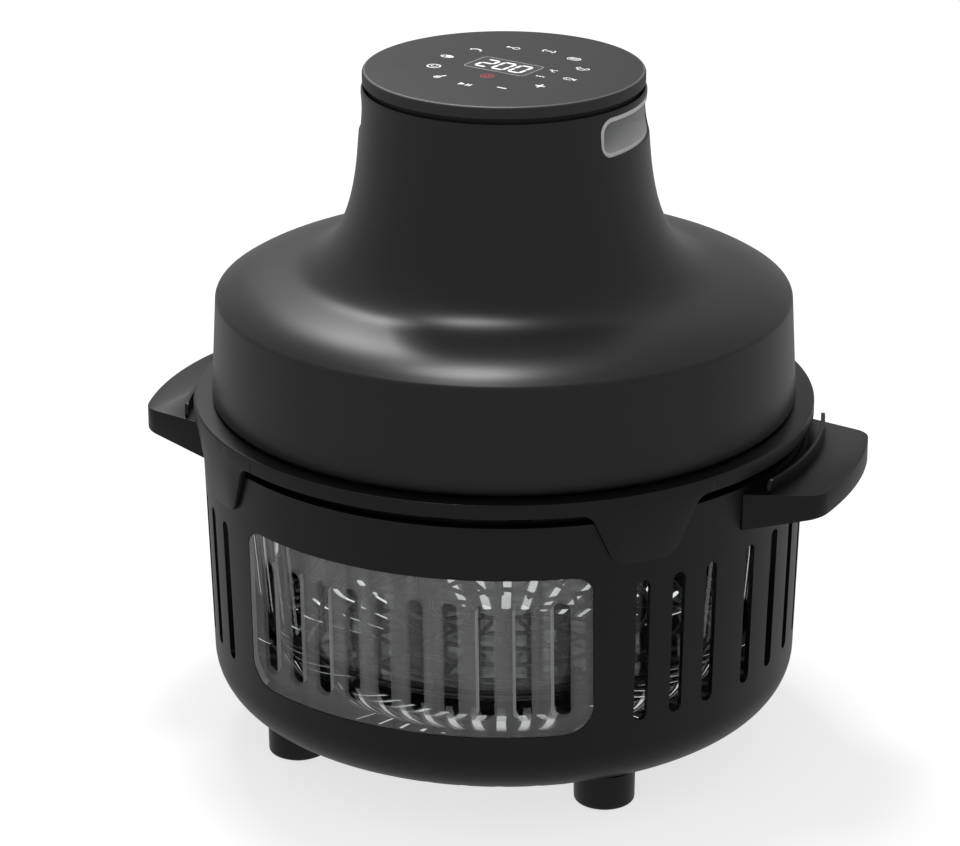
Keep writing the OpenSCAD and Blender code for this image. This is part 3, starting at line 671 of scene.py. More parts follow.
@dataclass(frozen=True)
class PrintInk:
    """Back-lit print, faintly uneven."""

    name: str
    tone: Point3
    glow: float = 0.6

    def build(self) -> bpy.types.Material:
        """Builds the material."""
        shader = Shader(self.name)
        shader.value(Emission_Color=(*self.tone, 1), Emission_Strength=self.glow, Roughness=0.5)
        mottle = shader.noise(900, 2)
        return shader.link(shader.ramp(mottle, tuple(c * 0.92 for c in self.tone), self.tone),
                           "Base Color").material


@dataclass(frozen=True)
class Matte:
    """Rubber, ceramic, fibre and board: matt with visible texture."""

    name: str
    tone: Point3
    accent: Point3
    scale: float = 600
    roughness: float = 0.75
    relief: float = 0.3
    stretch: Point3 = (1, 1, 1)

    def build(self) -> bpy.types.Material:
        """Builds the material."""
        shader = Shader(self.name)
        shader.value(Roughness=self.roughness)
        pattern = shader.noise(self.scale, 5, self.stretch)
        shader.link(shader.ramp(pattern, self.tone, self.accent), "Base Color")
        return shader.bump(pattern, self.relief, 0.0001).material


class Finishes:
    """All finishes of the object, each built once."""

    def __init__(self) -> None:
        """Builds every finish."""
        self.black = MouldedPlastic("satin_black_plastic", (0.003, 0.003, 0.0032), 0.33,
                                    specular=0.42).build()
        # A lighter copy of the black plastic for the head: painted light, for the head catching more
        # light than the base.
        self.lit_head_black = MouldedPlastic("black_plastic_lit_copy", (0.019, 0.019, 0.0195), 0.31,
                                         specular=0.45).build()
        self.dark_black = MouldedPlastic("matt_black_plastic", (0.006, 0.006, 0.0065), 0.6).build()
        self.panel = MouldedPlastic("touch_panel_skin", (0.033, 0.033, 0.034), 0.5, 2400, 0.04).build()
        # A lighter plastic for the panel's rounded top edge: a painted highlight line.
        self.panel_edge_highlight = MouldedPlastic("panel_edge_highlight", (0.17, 0.17, 0.175), 0.4, 2400, 0.02).build()
        self.liner = MouldedPlastic("pale_grey_plastic", (0.9, 0.905, 0.91), 0.3, 1600, 0.05,
                                    specular=0.6).build()
        # The window's grey veil is painted reflection laid over the see-through pane.
        self.window = PaintedReflectionPane("smoked_window", (0.56, 0.56, 0.575), 0.2).build()
        # A bright pane finish for the window's chamfered rims: a painted highlight.
        self.window_rim_highlight = PaintedReflectionPane("painted_window_rim_highlight", (0.85, 0.86, 0.88), 0.75).build()
        self.glass = ClearPiece("clear_glass", (0.96, 0.98, 0.98), 0.0, 1.47).build()
        self.wire = Metal("polished_wire", (0.78, 0.78, 0.79), 0.12).build()
        self.dark_wire = Metal("coated_wire", (0.11, 0.11, 0.115), 0.3).build()
        self.steel = Metal("plated_steel", (0.6, 0.6, 0.62), 0.32).build()
        self.sheet = Metal("bright_sheet", (0.68, 0.68, 0.68), 0.22, (1, 1, 25)).build()
        self.aluminium = Metal("pressed_aluminium", (0.75, 0.76, 0.77), 0.35, (6, 6, 1)).build()
        self.bronze = Metal("sintered_bronze", (0.55, 0.38, 0.18), 0.5).build()
        self.copper = Metal("enamelled_copper", (0.72, 0.31, 0.14), 0.28, (1, 1, 40), 0.3).build()
        self.dark_steel = Metal("coated_steel", (0.09, 0.09, 0.095), 0.45).build()
        self.heater = Matte("oxidised_tube", (0.05, 0.045, 0.042), (0.12, 0.1, 0.09), 300, 0.55).build()
        self.rubber = Matte("silicone_rubber", (0.012, 0.012, 0.013), (0.02, 0.02, 0.021),
                            900, 0.7).build()
        self.grey_rubber = Matte("grey_silicone", (0.05, 0.05, 0.052), (0.075, 0.075, 0.078),
                                 900, 0.65).build()
        self.fibre = Matte("fibre_mat", (0.5, 0.46, 0.36), (0.72, 0.68, 0.58), 260, 0.95, 0.6).build()
        self.ceramic = Matte("glazed_ceramic", (0.68, 0.66, 0.6), (0.78, 0.76, 0.71),
                             200, 0.3, 0.05).build()
        self.board = Matte("coated_board", (0.008, 0.05, 0.025), (0.012, 0.085, 0.045),
                           150, 0.35, 0.1).build()
        self.white_print = PrintInk("white_print", (0.85, 0.86, 0.88), 0.7).build()
        self.grey_print = PrintInk("grey_print", (0.42, 0.43, 0.44), 0.16).build()
        self.red_print = PrintInk("red_print", (0.62, 0.07, 0.08), 0.2).build()
        self.display = MouldedPlastic("display_lens", (0.06, 0.06, 0.061), 0.45, 2600, 0.02).build()


def dress(piece: bpy.types.Object, material: bpy.types.Material) -> bpy.types.Object:
    """Gives a piece one material.

    Args:
        piece: The object.
        material: Its finish.

    Returns:
        The same object.
    """
    piece.data.materials.clear()
    piece.data.materials.append(material)
    return piece


def finish_piece(piece: bpy.types.Object, body: Body, material_slot: str, *nodes: str) -> None:
    """Lets a piece ride on its body and stand for CAD nodes.

    Args:
        piece: The finished mesh.
        body: The body it moves with.
        material_slot: The record's slot that it is finished in. Not used.
        nodes: CAD nodes that it replaces.
    """
    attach(piece, body.value)
    if nodes:
        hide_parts(*nodes)
    LOG.info("%s rides on %s, %d faces", piece.name, body.value, len(piece.data.polygons))


# --------------------------------------------------------------------------
# Base
# --------------------------------------------------------------------------


@dataclass
class BaseUnit:
    """The slotted shell with its window, collar, handles and feet."""

    finishes: Finishes
    wall: float = 2.6 * MM
    fillet: float = 25 * MM
    segments: int = 288
    slot_angles: tuple[float, ...] = (45.7, 53.3, 61, 72, 81, 90, 99, 108, 119, 126.7, 134.3)
    slot_w: float = 7 * MM
    window_slot_w: float = 8 * MM
    window_pitch: float = 16 * MM
    floor_slots: int = 48
    lug_angle: float = 45.5
    guard_h: float = 6.4 * MM

    def __post_init__(self) -> None:
        """Reads the driving sizes from the frame."""
        low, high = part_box("basket_shell")
        self.floor_z, self.top_z = low.z, high.z
        self.top_r = high.x
        self.low_r = self.top_r - 3.4 * MM
        self.foot_z = self.floor_z + self.fillet
        window_low, window_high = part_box("viewing_window")
        lip = 3 * MM
        self.window_w = window_high.x - lip
        self.window_low_z = window_low.z + lip
        self.window_top_z = window_high.z - lip
        ring_low, ring_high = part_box("collar_ring")
        self.ring_r, self.ring_z = ring_high.y, ring_high.z
        self.lug_low_z = ring_low.z

    def wall_r(self, z: float) -> float:
        """Radius of the wall's outer face at a height."""
        share = (z - self.foot_z) / (self.top_z - self.foot_z)
        return self.low_r + (self.top_r - self.low_r) * share

    def window_outline(self, grow: float) -> list[Point]:
        """The window's outline, grown by some amount."""
        w, low, high = self.window_w + grow, self.window_low_z - grow, self.window_top_z + grow
        corners = [(-w, low), (w, low), (w, high), (-w, high)]
        return rounded(corners, [13 * MM, 13 * MM, 8 * MM, 8 * MM], 8)

    def stadium(self, x: float, width: float, low: float, high: float) -> list[Point]:
        """Outline of an upright slot with round ends."""
        return rectangle((x, (low + high) / 2), (width, high - low), width * 0.4999, 8)

    def window_cutter(self, front: bool) -> bpy.types.Object:
        """The ten straight slots of the window, or of the back wall."""
        span = (-0.2, -0.05) if front else (0.05, 0.2)
        low, high = self.window_low_z + 9 * MM, self.window_top_z - 12 * MM
        cutters = []
        for side in (-1, 1):
            for i in range(5):
                x = side * (i + 0.5) * self.window_pitch
                outline = self.stadium(x, self.window_slot_w, low, high)
                cutters.append(prism("slot", outline, *span, plane=Plane.XZ))
        return joined(cutters, "window_cutter")

    def side_cutter(self) -> bpy.types.Object:
        """The upright slots in both sides."""
        low, high = self.window_low_z + 2.3 * MM, self.window_top_z - 6 * MM
        outline = self.stadium(0, self.slot_w, low, high)
        slot = prism("slot", outline, -0.2, -0.1, plane=Plane.XZ)
        angles = [side * a for side in (-1, 1) for a in self.slot_angles]
        return around(slot, angles, "side_cutter")

    def floor_cutter(self) -> bpy.types.Object:
        """The cooling slots round the floor, apart from the places of the feet."""
        pitch = 360 / self.floor_slots
        end = self.low_r - 11.4 * MM
        outline = rectangle((end - 30 * MM, 0), (60 * MM, 5 * MM), 2.4 * MM, 5)
        slot = prism("slot", outline, self.floor_z - 1 * MM, self.floor_z + 5.5 * MM)
        angles = [(i + 0.5) * pitch for i in range(self.floor_slots)]
        free = [a for a in angles if abs(a % 90 - 45) > 10.2]
        return around(slot, free, "floor_cutter")

    def make_shell(self) -> None:
        """The outer shell with its slots and window opening."""
        path = [(0, self.floor_z)]
        path += arc((self.low_r - self.fillet, self.foot_z), self.fillet, -90, 0, 14)
        path += [(self.top_r, self.top_z)]
        shell = lathe("basket_shell_skin", path, self.segments)
        modify(shell, "SOLIDIFY", thickness=self.wall, offset=-1, use_even_offset=True)
        boolean(shell, prism("opening", self.window_outline(0), -0.2, -0.05, Plane.XZ))
        boolean(shell, self.window_cutter(False))
        boolean(shell, self.side_cutter())
        boolean(shell, self.floor_cutter())
        dress(smooth(shell, 30), self.finishes.black)
        finish_piece(shell, Body.BASE, "black_plastic", "basket_shell")

    def make_window(self) -> None:
        """The clear insert with its slots and their chamfered rims, which are painted bright as a
        highlight.
        """
        low, high = self.window_low_z - 6 * MM, self.window_top_z + 6 * MM
        depth = self.wall + 1.6 * MM
        path = [(self.wall_r(low) - depth, low), (self.wall_r(low) - 0.2 * MM, low),
                (self.wall_r(high) - 0.2 * MM, high), (self.wall_r(high) - depth, high)]
        panel = lathe("viewing_window_panel", path, self.segments, closed=True)
        boolean(panel, prism("outline", self.window_outline(-0.3 * MM), -0.2, -0.05, Plane.XZ),
                "INTERSECT")
        boolean(panel, self.window_cutter(True))
        soften(panel, 0.35 * MM, 1, 60)
        smooth(panel, 30)
        dress(panel, self.finishes.window)

        def takes_painted_highlight(face: bpy.types.MeshPolygon) -> bool:
            """Whether a face is part of an outer chamfer, which takes the painted highlight."""
            outward = Vector((face.center.x, face.center.y, 0)).normalized()
            return 0.25 < face.normal.dot(outward) < 0.95

        # The outer chamfers are painted bright: a painted highlight along the window's rims and slots.
        paint_faces(panel, self.finishes.window_rim_highlight, takes_painted_highlight)
        finish_piece(panel, Body.BASE, "smoked_window", "viewing_window")

    def make_collar(self) -> None:
        """The collar with its four lugs and the air holes behind its face."""
        top, radius = self.ring_z, self.ring_r
        wall, face_h = 3 * MM, 6.8 * MM
        bore = 137.8 * MM
        skirt_r, ledge_z = bore + wall, top - 14.5 * MM
        ledge_r = 132.5 * MM
        outline = [(radius - 1.2 * MM, top)]
        outline += arc((radius - 1.2 * MM, top - 1.2 * MM), 1.2 * MM, 70, 0, 4)
        outline += [(radius, top - face_h), (radius - wall, top - face_h),
                    (radius - wall, top - wall), (skirt_r, top - wall),
                    (skirt_r, ledge_z - 10 * MM), (bore, ledge_z - 10 * MM),
                    (bore, ledge_z - wall), (ledge_r, ledge_z - wall), (ledge_r, ledge_z),
                    (bore, ledge_z), (bore, top)]
        ring = lathe("collar_ring_body", outline, self.segments, closed=True)
        holes = prism("hole", rectangle((0, self.top_z + 3.5 * MM), (12 * MM, 4.2 * MM), 1 * MM, 4),
                      -0.145, -0.13, Plane.XZ)
        boolean(ring, around(holes, [7.5 + 15 * i for i in range(24)], "holes"))
        boolean(ring, self.lugs(wall), "UNION")
        dress(smooth(ring, 30), self.finishes.black)
        finish_piece(ring, Body.BASE, "black_plastic", "collar_ring")

    def lugs(self, wall: float) -> bpy.types.Object:
        """The four lugs that reach down over the shell."""
        face_z = self.ring_z - 6.8 * MM
        top, low = self.ring_z - wall * 0.6, self.lug_low_z
        half, foot = 28 * MM, 15 * MM
        outline = rounded(
            [(-half - 8 * MM, face_z), (-half, face_z), (-foot, low), (foot, low), (half, face_z),
             (half + 8 * MM, face_z), (half + 8 * MM, top), (-half - 8 * MM, top)],
            [0, 8 * MM, 10 * MM, 10 * MM, 8 * MM, 0, 0, 0], 8)
        lug = prism("lug", outline, -0.2, -0.1, Plane.XZ)
        angles = [self.lug_angle, 180 - self.lug_angle, 180 + self.lug_angle, -self.lug_angle]
        lugs = around(lug, angles, "lugs")
        gap = 0.2 * MM
        path = [(self.wall_r(low - MM) + gap, low - MM), (self.ring_r - 2.5 * MM, low - MM),
                (self.ring_r, face_z), (self.ring_r, top + MM),
                (self.wall_r(self.top_z) + gap, top + MM)]
        band = lathe("band", path, self.segments, closed=True)
        return soften(boolean(lugs, band, "INTERSECT"), 0.5 * MM, 2, 60)

    def make_handles(self) -> None:
        """Both handles, each with its finger guard."""
        low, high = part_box("handle_right")
        reach = high.x
        top = high.z - self.guard_h
        bow = 165 * MM
        edge = arc((reach - bow, 0), bow, -12, 12, 12)
        corner = (reach - 5.8 * MM, 43.5 * MM)
        corner_r = 11 * MM
        root_y = 53.6 * MM
        root = (math.sqrt(self.top_r ** 2 - root_y ** 2), root_y)
        back = (root[0] - 10 * MM, root_y - 3 * MM)
        plan = [(back[0], -back[1]), (root[0], -root[1]), (corner[0], -corner[1]), *edge,
                corner, root, back]
        radii = [0, 0, corner_r, *([0] * len(edge)), corner_r, 0, 0]
        handle = prism("handle_body", rounded(plan, radii, 10), low.z - MM, top)
        side = [(back[0] - MM, low.z), (root[0], low.z), (reach + MM, top - 10 * MM),
                (reach + MM, low.z - 9 * MM), (back[0] - MM, low.z - 9 * MM)]
        boolean(handle, prism("wedge", side, -0.1, 0.1, Plane.XZ))
        path = [(0, 0), (self.wall_r(0) + 0.2 * MM, 0),
                (self.wall_r(top + MM) + 0.2 * MM, top + MM), (0, top + MM)]
        boolean(handle, lathe("core", path, self.segments))
        soften(handle, 0.5 * MM, 2, 40)
        guard = self.guard(top, high.z)
        for name, mirror in (("right", False), ("left", True)):
            place = Matrix.Scale(-1, 4, (1, 0, 0)) if mirror else Matrix.Identity(4)
            parts = [copied(handle, place), copied(guard, place)]
            whole = joined(parts, f"handle_{name}_grip")
            dress(smooth(whole, 35), self.finishes.black)
            finish_piece(whole, Body.BASE, "black_plastic", f"handle_{name}")
        bpy.data.objects.remove(handle)
        bpy.data.objects.remove(guard)

    def guard(self, low: float, high: float) -> bpy.types.Object:
        """The thin upright rib on a handle."""
        radius, half_t, spread = self.top_r + 8.2 * MM, 0.9 * MM, 18
        half_w = radius * math.sin(math.radians(spread))
        path = [(radius - half_t, low - MM), (radius + half_t, low - MM),
                (radius + half_t, high), (radius - half_t, high)]
        rib = lathe("guard", path, self.segments, closed=True)
        corners = [(-half_w, low - MM), (half_w, low - MM), (half_w, high), (-half_w, high)]
        outline = rounded(corners, [0, 0, 3 * MM, 3 * MM], 8)
        boolean(rib, prism("trim", outline, 0.1, 0.2, Plane.YZ), "INTERSECT")
        return soften(rib, 0.5 * MM, 3, 40)

    def make_feet(self) -> None:
        """Four turned feet and their rubber pads."""
        low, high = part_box("base_feet")
        radius = 14.7 * MM
        spot = high.x - radius
        for name, material, slot, path in (
            ("base_feet", self.finishes.black, "black_plastic", [
                (0, 3 * MM), (11.7 * MM, 3 * MM), (11.7 * MM, low.z),
                *arc((radius - 2.2 * MM, low.z + 2 * MM), 2 * MM, -90, 0, 6), (radius, high.z),
                (0, high.z)]),
            ("foot_pads", self.finishes.rubber, "black_rubber", [
                (0, 0), (6 * MM, 0), (6.4 * MM, 0.4 * MM), (7 * MM, 0.4 * MM), (7.4 * MM, 0),
                (10.7 * MM, 0), (11.5 * MM, 0.8 * MM), (11.5 * MM, 3 * MM), (0, 3 * MM)]),
        ):
            feet = []
            for sx in (-1, 1):
                for sy in (-1, 1):
                    feet.append(lathe("foot", path, 64, centre=(sx * spot, sy * spot)))
            whole = smooth(joined(feet, f"{name}_set"), 35)
            dress(whole, material)
            finish_piece(whole, Body.BASE, slot, name)

    def build(self) -> None:
        """Models every piece of the base."""
        self.make_shell()
        self.make_window()
        self.make_collar()
        self.make_handles()
        self.make_feet()


# --------------------------------------------------------------------------
# Bowl and rack
# --------------------------------------------------------------------------


@dataclass
class BowlUnit:
    """The glass bowl and its seal."""

    finishes: Finishes
    glass_t: float = 4.5 * MM
    fillet: float = 36 * MM
    low_r: float = 124 * MM
    neck_r: float = 130.5 * MM
    rim_h: float = 6 * MM

    def build(self) -> None:
        """Models the bowl as one closed wall with a rolled rim."""
        low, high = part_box("glass_bowl")
        rim_r, rim_z = high.x, high.z
        under = rim_z - self.rim_h
        inner_r = self.neck_r - self.glass_t
        outer = [(0, low.z)]
        outer += arc((self.low_r - self.fillet, low.z + self.fillet), self.fillet, -90, 0, 18)
        outer += [(self.neck_r, under)]
        outer += arc((rim_r - 1.5 * MM, under + 1.5 * MM), 1.5 * MM, -90, 0, 5)
        outer += arc((rim_r - 1.5 * MM, rim_z - 1.5 * MM), 1.5 * MM, 0, 90, 5)
        outer += [(inner_r + 1.5 * MM, rim_z)]
        low_in, fillet_in = self.low_r - self.glass_t, self.fillet - self.glass_t
        outer += [(inner_r, rim_z - 1.5 * MM)]
        outer += arc((low_in - fillet_in, low.z + self.fillet), fillet_in, 0, -90, 18)
        outer += [(0, low.z + self.glass_t)]
        bowl = lathe("glass_bowl_wall", outer, 192)
        dress(smooth(bowl, 40), self.finishes.glass)
        finish_piece(bowl, Body.BOWL, "clear_glass", "glass_bowl")
        self.make_seal()

    def make_seal(self) -> None:
        """The silicone ring under and round the rim."""
        low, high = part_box("bowl_rim_seal")
        radius, step = high.x, 3 * MM
        inner, shelf = self.neck_r + MM, radius - 1.4 * MM
        path = [(inner, low.z), (radius - 0.6 * MM, low.z), (radius, low.z + 0.6 * MM),
                (radius, high.z - 0.5 * MM), (radius - 0.5 * MM, high.z), (shelf, high.z),
                (shelf, low.z + step), (inner, low.z + step)]
        seal = lathe("bowl_rim_seal_ring", path, 192, closed=True)
        dress(smooth(seal, 35), self.finishes.rubber)
        finish_piece(seal, Body.BOWL, "black_rubber", "bowl_rim_seal")


@dataclass
class RackUnit:
    """The wire rack in the bowl, with its silicone feet."""

    finishes: Finishes
    rings: int = 5
    spokes: int = 16
    legs: int = 4

    def build(self) -> None:
        """Models rings, spokes and legs from round wire."""
        low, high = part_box("crisper_rack")
        heavy, fine = 1.6 * MM, 1.2 * MM
        rim_r = high.x - heavy
        top = high.z - fine
        parts = [hoop("rim", rim_r, high.z - heavy, heavy, 128)]
        parts += [hoop("ring", rim_r * i / 6, top, fine) for i in range(1, 6)]
        spoke_z = top - 2 * fine + 0.2 * MM
        spoke = wire("spoke", [(rim_r / 6, 0, spoke_z), (rim_r - 4 * MM, 0, spoke_z),
                               (rim_r - 0.5 * MM, 0, spoke_z + 0.6 * MM)], fine, sides=2)
        parts.append(around(spoke, [360 * i / self.spokes for i in range(self.spokes)], "spokes"))
        leg_r = 78 * MM
        leg = wire("leg", [(leg_r + 6 * MM, 0, top - fine), (leg_r + MM, 0, top - 3 * MM),
                           (leg_r, 0, top - 8 * MM), (leg_r, 0, low.z)], heavy, sides=2)
        parts.append(around(leg, [45 + 90 * i for i in range(self.legs)], "legs"))
        parts.append(hoop("brace", leg_r, (low.z - 2 * MM + top) / 2, fine))
        rack = joined(parts, "crisper_rack_wires")
        dress(smooth(rack, 60), self.finishes.dark_wire)
        finish_piece(rack, Body.RACK, "rack_wire", "crisper_rack")
        self.make_feet(leg_r)

    def make_feet(self, leg_r: float) -> None:
        """Small silicone caps on the legs."""
        low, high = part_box("rack_feet")
        path = [(0, low.z), (2.9 * MM, low.z), (3.5 * MM, low.z + 0.6 * MM),
                (3.3 * MM, high.z - 1.2 * MM), (2.6 * MM, high.z - 0.2 * MM),
                (1.7 * MM, high.z), (1.7 * MM, low.z + 2 * MM), (0, low.z + 2 * MM)]
        caps = lathe("cap", path, 24, centre=(leg_r, 0))
        caps = around(caps, [45 + 90 * i for i in range(self.legs)], "rack_feet_caps")
        dress(smooth(caps, 40), self.finishes.grey_rubber)
        finish_piece(caps, Body.RACK, "black_rubber", "rack_feet")


# --------------------------------------------------------------------------
# Head
# --------------------------------------------------------------------------


@dataclass
class HeadUnit:
    """The lift-off head's outer pieces: shell, grips, base ring, gasket and panel."""

    finishes: Finishes
    wall: float = 2.6 * MM
    segments: int = 320
    grip_w: float = 66.4 * MM
    grip_h: float = 19.4 * MM
    grip_corner: float = 7 * MM

    def __post_init__(self) -> None:
        """Reads the driving sizes from the frame."""
        low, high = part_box("head_shell")
        self.low_z, self.top_z = low.z, high.z
        self.band_r = high.x
        panel_low, panel_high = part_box("touch_panel")
        self.panel_r = panel_high.x
        self.panel_low_z, self.panel_top_z = panel_low.z, panel_high.z
        self.neck_r = self.panel_r + 0.6 * MM
        self.grip_low_z = self.top_z - 22 * MM

    def shell_path(self) -> list[Point]:
        """The shell's outer profile, from the band's lower edge up to the lip."""
        edge, lift = 2.6 * MM, 50 * MM
        shoulder_r, shoulder_z = self.band_r - 2.6 * MM, self.low_z + lift - 0.5 * MM
        bend, bend_angle = 3 * MM, 60
        flare = ((shoulder_r + self.neck_r) / 2, self.low_z + 63.5 * MM)
        foot = (self.neck_r + 1.6 * MM, self.top_z - 26 * MM)
        path = arc((self.band_r - edge, self.low_z + edge), edge, -90, 0, 8)
        turn = arc((shoulder_r - bend, shoulder_z), bend, 0, bend_angle, 10)
        path += turn
        path += bezier(turn[-1], (shoulder_r - 12.4 * MM, self.low_z + lift + 9.5 * MM),
                       (flare[0] + 10 * MM, flare[1] - 2.2 * MM), flare, 14)
        path += bezier(flare, (self.neck_r + 12.6 * MM, flare[1] + 5 * MM),
                       (foot[0] + 2.4 * MM, foot[1] - 36 * MM), foot, 26)
        path += bezier(foot, (foot[0] - 0.9 * MM, foot[1] + 9 * MM),
                       (self.neck_r + 0.1 * MM, self.top_z - 8 * MM),
                       (self.neck_r, self.top_z - 0.8 * MM), 6)
        path += [(self.neck_r - 0.8 * MM, self.top_z)]
        return path

    def make_shell(self) -> None:
        """The outer shell with its two grip openings."""
        shell = lathe("head_shell_skin", self.shell_path(), self.segments)
        modify(shell, "SOLIDIFY", thickness=self.wall, offset=-1, use_even_offset=True)
        middle = (0, self.grip_low_z + self.grip_h / 2)
        outline = rectangle(middle, (self.grip_w, self.grip_h), self.grip_corner, 10)
        boolean(shell, prism("grips", outline, -0.1, 0.1, Plane.YZ))
        # The head wears the lighter copy of the black plastic: painted light.
        dress(smooth(shell, 30), self.finishes.lit_head_black)
        finish_piece(shell, Body.HEAD, "black_plastic", "head_shell")

    def make_grips(self) -> None:
        """The light pockets behind the grip openings, with vents in their back walls, which are painted
        dark as shade.
        """
        low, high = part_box("grip_liner_right")
        fit, wall = 0.2 * MM, 2 * MM
        middle = (0, self.grip_low_z + self.grip_h / 2)
        size = (self.grip_w - 2 * fit, self.grip_h - 2 * fit)
        cup = prism("cup", rectangle(middle, size, self.grip_corner - fit, 10), low.x, 0.1, Plane.YZ)
        face = [(0, low.z - MM), (self.neck_r - 0.1 * MM, low.z - MM),
                (self.neck_r - 0.1 * MM, high.z + MM), (0, high.z + MM)]
        boolean(cup, lathe("face", face, self.segments), "INTERSECT")
        inner = rectangle(middle, (size[0] - 2 * wall, size[1] - 2 * wall),
                          self.grip_corner - wall, 10)
        boolean(cup, prism("hollow", inner, low.x + wall, 0.1, Plane.YZ))
        vents = [prism("vent", rectangle((9 * MM * i, middle[1]), (4 * MM, 10 * MM), 1.9 * MM, 5),
                       low.x - MM, low.x + 3 * MM, Plane.YZ) for i in range(-2, 3)]
        boolean(cup, joined(vents, "vents"))
        smooth(cup, 35)
        dress(cup, self.finishes.liner)
        back = low.x + wall

        def in_painted_back_shade(face: bpy.types.MeshPolygon) -> bool:
            """Whether a face is on the pocket's back wall, which is painted dark as shade."""
            return abs(face.center.x) < back + 0.1 * MM

        # The back wall and its vents are painted matt black: painted shade at the back of the pocket.
        paint_faces(cup, self.finishes.dark_black, in_painted_back_shade)
        for name, place in (("left", Matrix.Scale(-1, 4, (1, 0, 0))),
                            ("right", Matrix.Identity(4))):
            twin = name_piece(copied(cup, place), f"grip_liner_{name}_pocket")
            finish_piece(twin, Body.HEAD, "grey_liner", f"grip_liner_{name}")
        bpy.data.objects.remove(cup)

    def make_panel(self) -> None:
        """The touch panel's moulded cap, with a painted highlight along its rounded top edge."""
        edge, skin = 1.6 * MM, 2.6 * MM
        top, low, radius = self.panel_top_z, self.panel_low_z, self.panel_r
        path = [(0, top - skin), (radius - 2.2 * MM, top - skin), (radius - 2.2 * MM, low),
                (radius - 0.4 * MM, low), (radius, low + 0.4 * MM)]
        path += arc((radius - edge, top - edge), edge, 0, 90, 10)
        path += [(radius * 0.5, top), (0, top)]
        cap = lathe("touch_panel_cap", path, 256)
        dress(smooth(cap, 40), self.finishes.panel)
        # The faces of the rounded top edge are painted lighter: a painted highlight line along the
        # panel's edge.
        paint_faces(cap, self.finishes.panel_edge_highlight, lambda face: 0.75 < face.normal.z < 0.985)
        finish_piece(cap, Body.HEAD, "panel_glass", "touch_panel")

    def make_ring(self) -> None:
        """The base ring and the gasket that meets the bowl."""
        low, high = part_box("head_base_ring")
        inner, radius = 126.2 * MM, high.x
        path = [(inner, low.z), (radius - MM, low.z), (radius, low.z + MM), (radius, high.z),
                (inner, high.z)]
        ring = lathe("head_base_ring_body", path, 192, closed=True)
        bores = lathe("bores", [(0, low.z - MM), (3 * MM, low.z - MM), (3 * MM, low.z + 1.5 * MM),
                                (2 * MM, low.z + 1.6 * MM), (2 * MM, high.z + MM),
                                (0, high.z + MM)], 24, centre=(radius - 3 * MM, 0))
        boolean(ring, around(bores, [30 + 60 * i for i in range(6)], "bores"))
        dress(smooth(ring, 35), self.finishes.dark_black)
        finish_piece(ring, Body.HEAD, "black_plastic", "head_base_ring")
        low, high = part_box("head_gasket")
        outer, middle = high.x, 128.7 * MM
        path = [(inner + 1.3 * MM, low.z + 0.4 * MM), (inner + 1.7 * MM, low.z),
                (middle - 0.5 * MM, low.z), (middle, low.z + 0.5 * MM),
                (middle + 0.5 * MM, low.z), (outer - 0.5 * MM, low.z),
                (outer, low.z + 0.5 * MM), (outer, high.z), (inner, high.z)]
        gasket = lathe("head_gasket_ring", path, 192, closed=True)
        dress(smooth(gasket, 35), self.finishes.grey_rubber)
        finish_piece(gasket, Body.HEAD, "black_rubber", "head_gasket")

    def build(self) -> None:
        """Models every outer piece of the head."""
        self.make_shell()
        self.make_grips()
        self.make_panel()
        self.make_ring()


# --------------------------------------------------------------------------
# Panel graphics
# --------------------------------------------------------------------------


class Mark(Enum):
    """The touch marks round the display, with each one's azimuth in degrees."""

    FISH = 0
    CRAB = 30
    CHIPS = 60
    TRAY = 90
    DRUMSTICK = 120
    SHRIMP = 150
    STEAK = 180
    EGG = 210
    THERMOMETER = 240
    START = 270
    LESS = 300
    MORE = 330


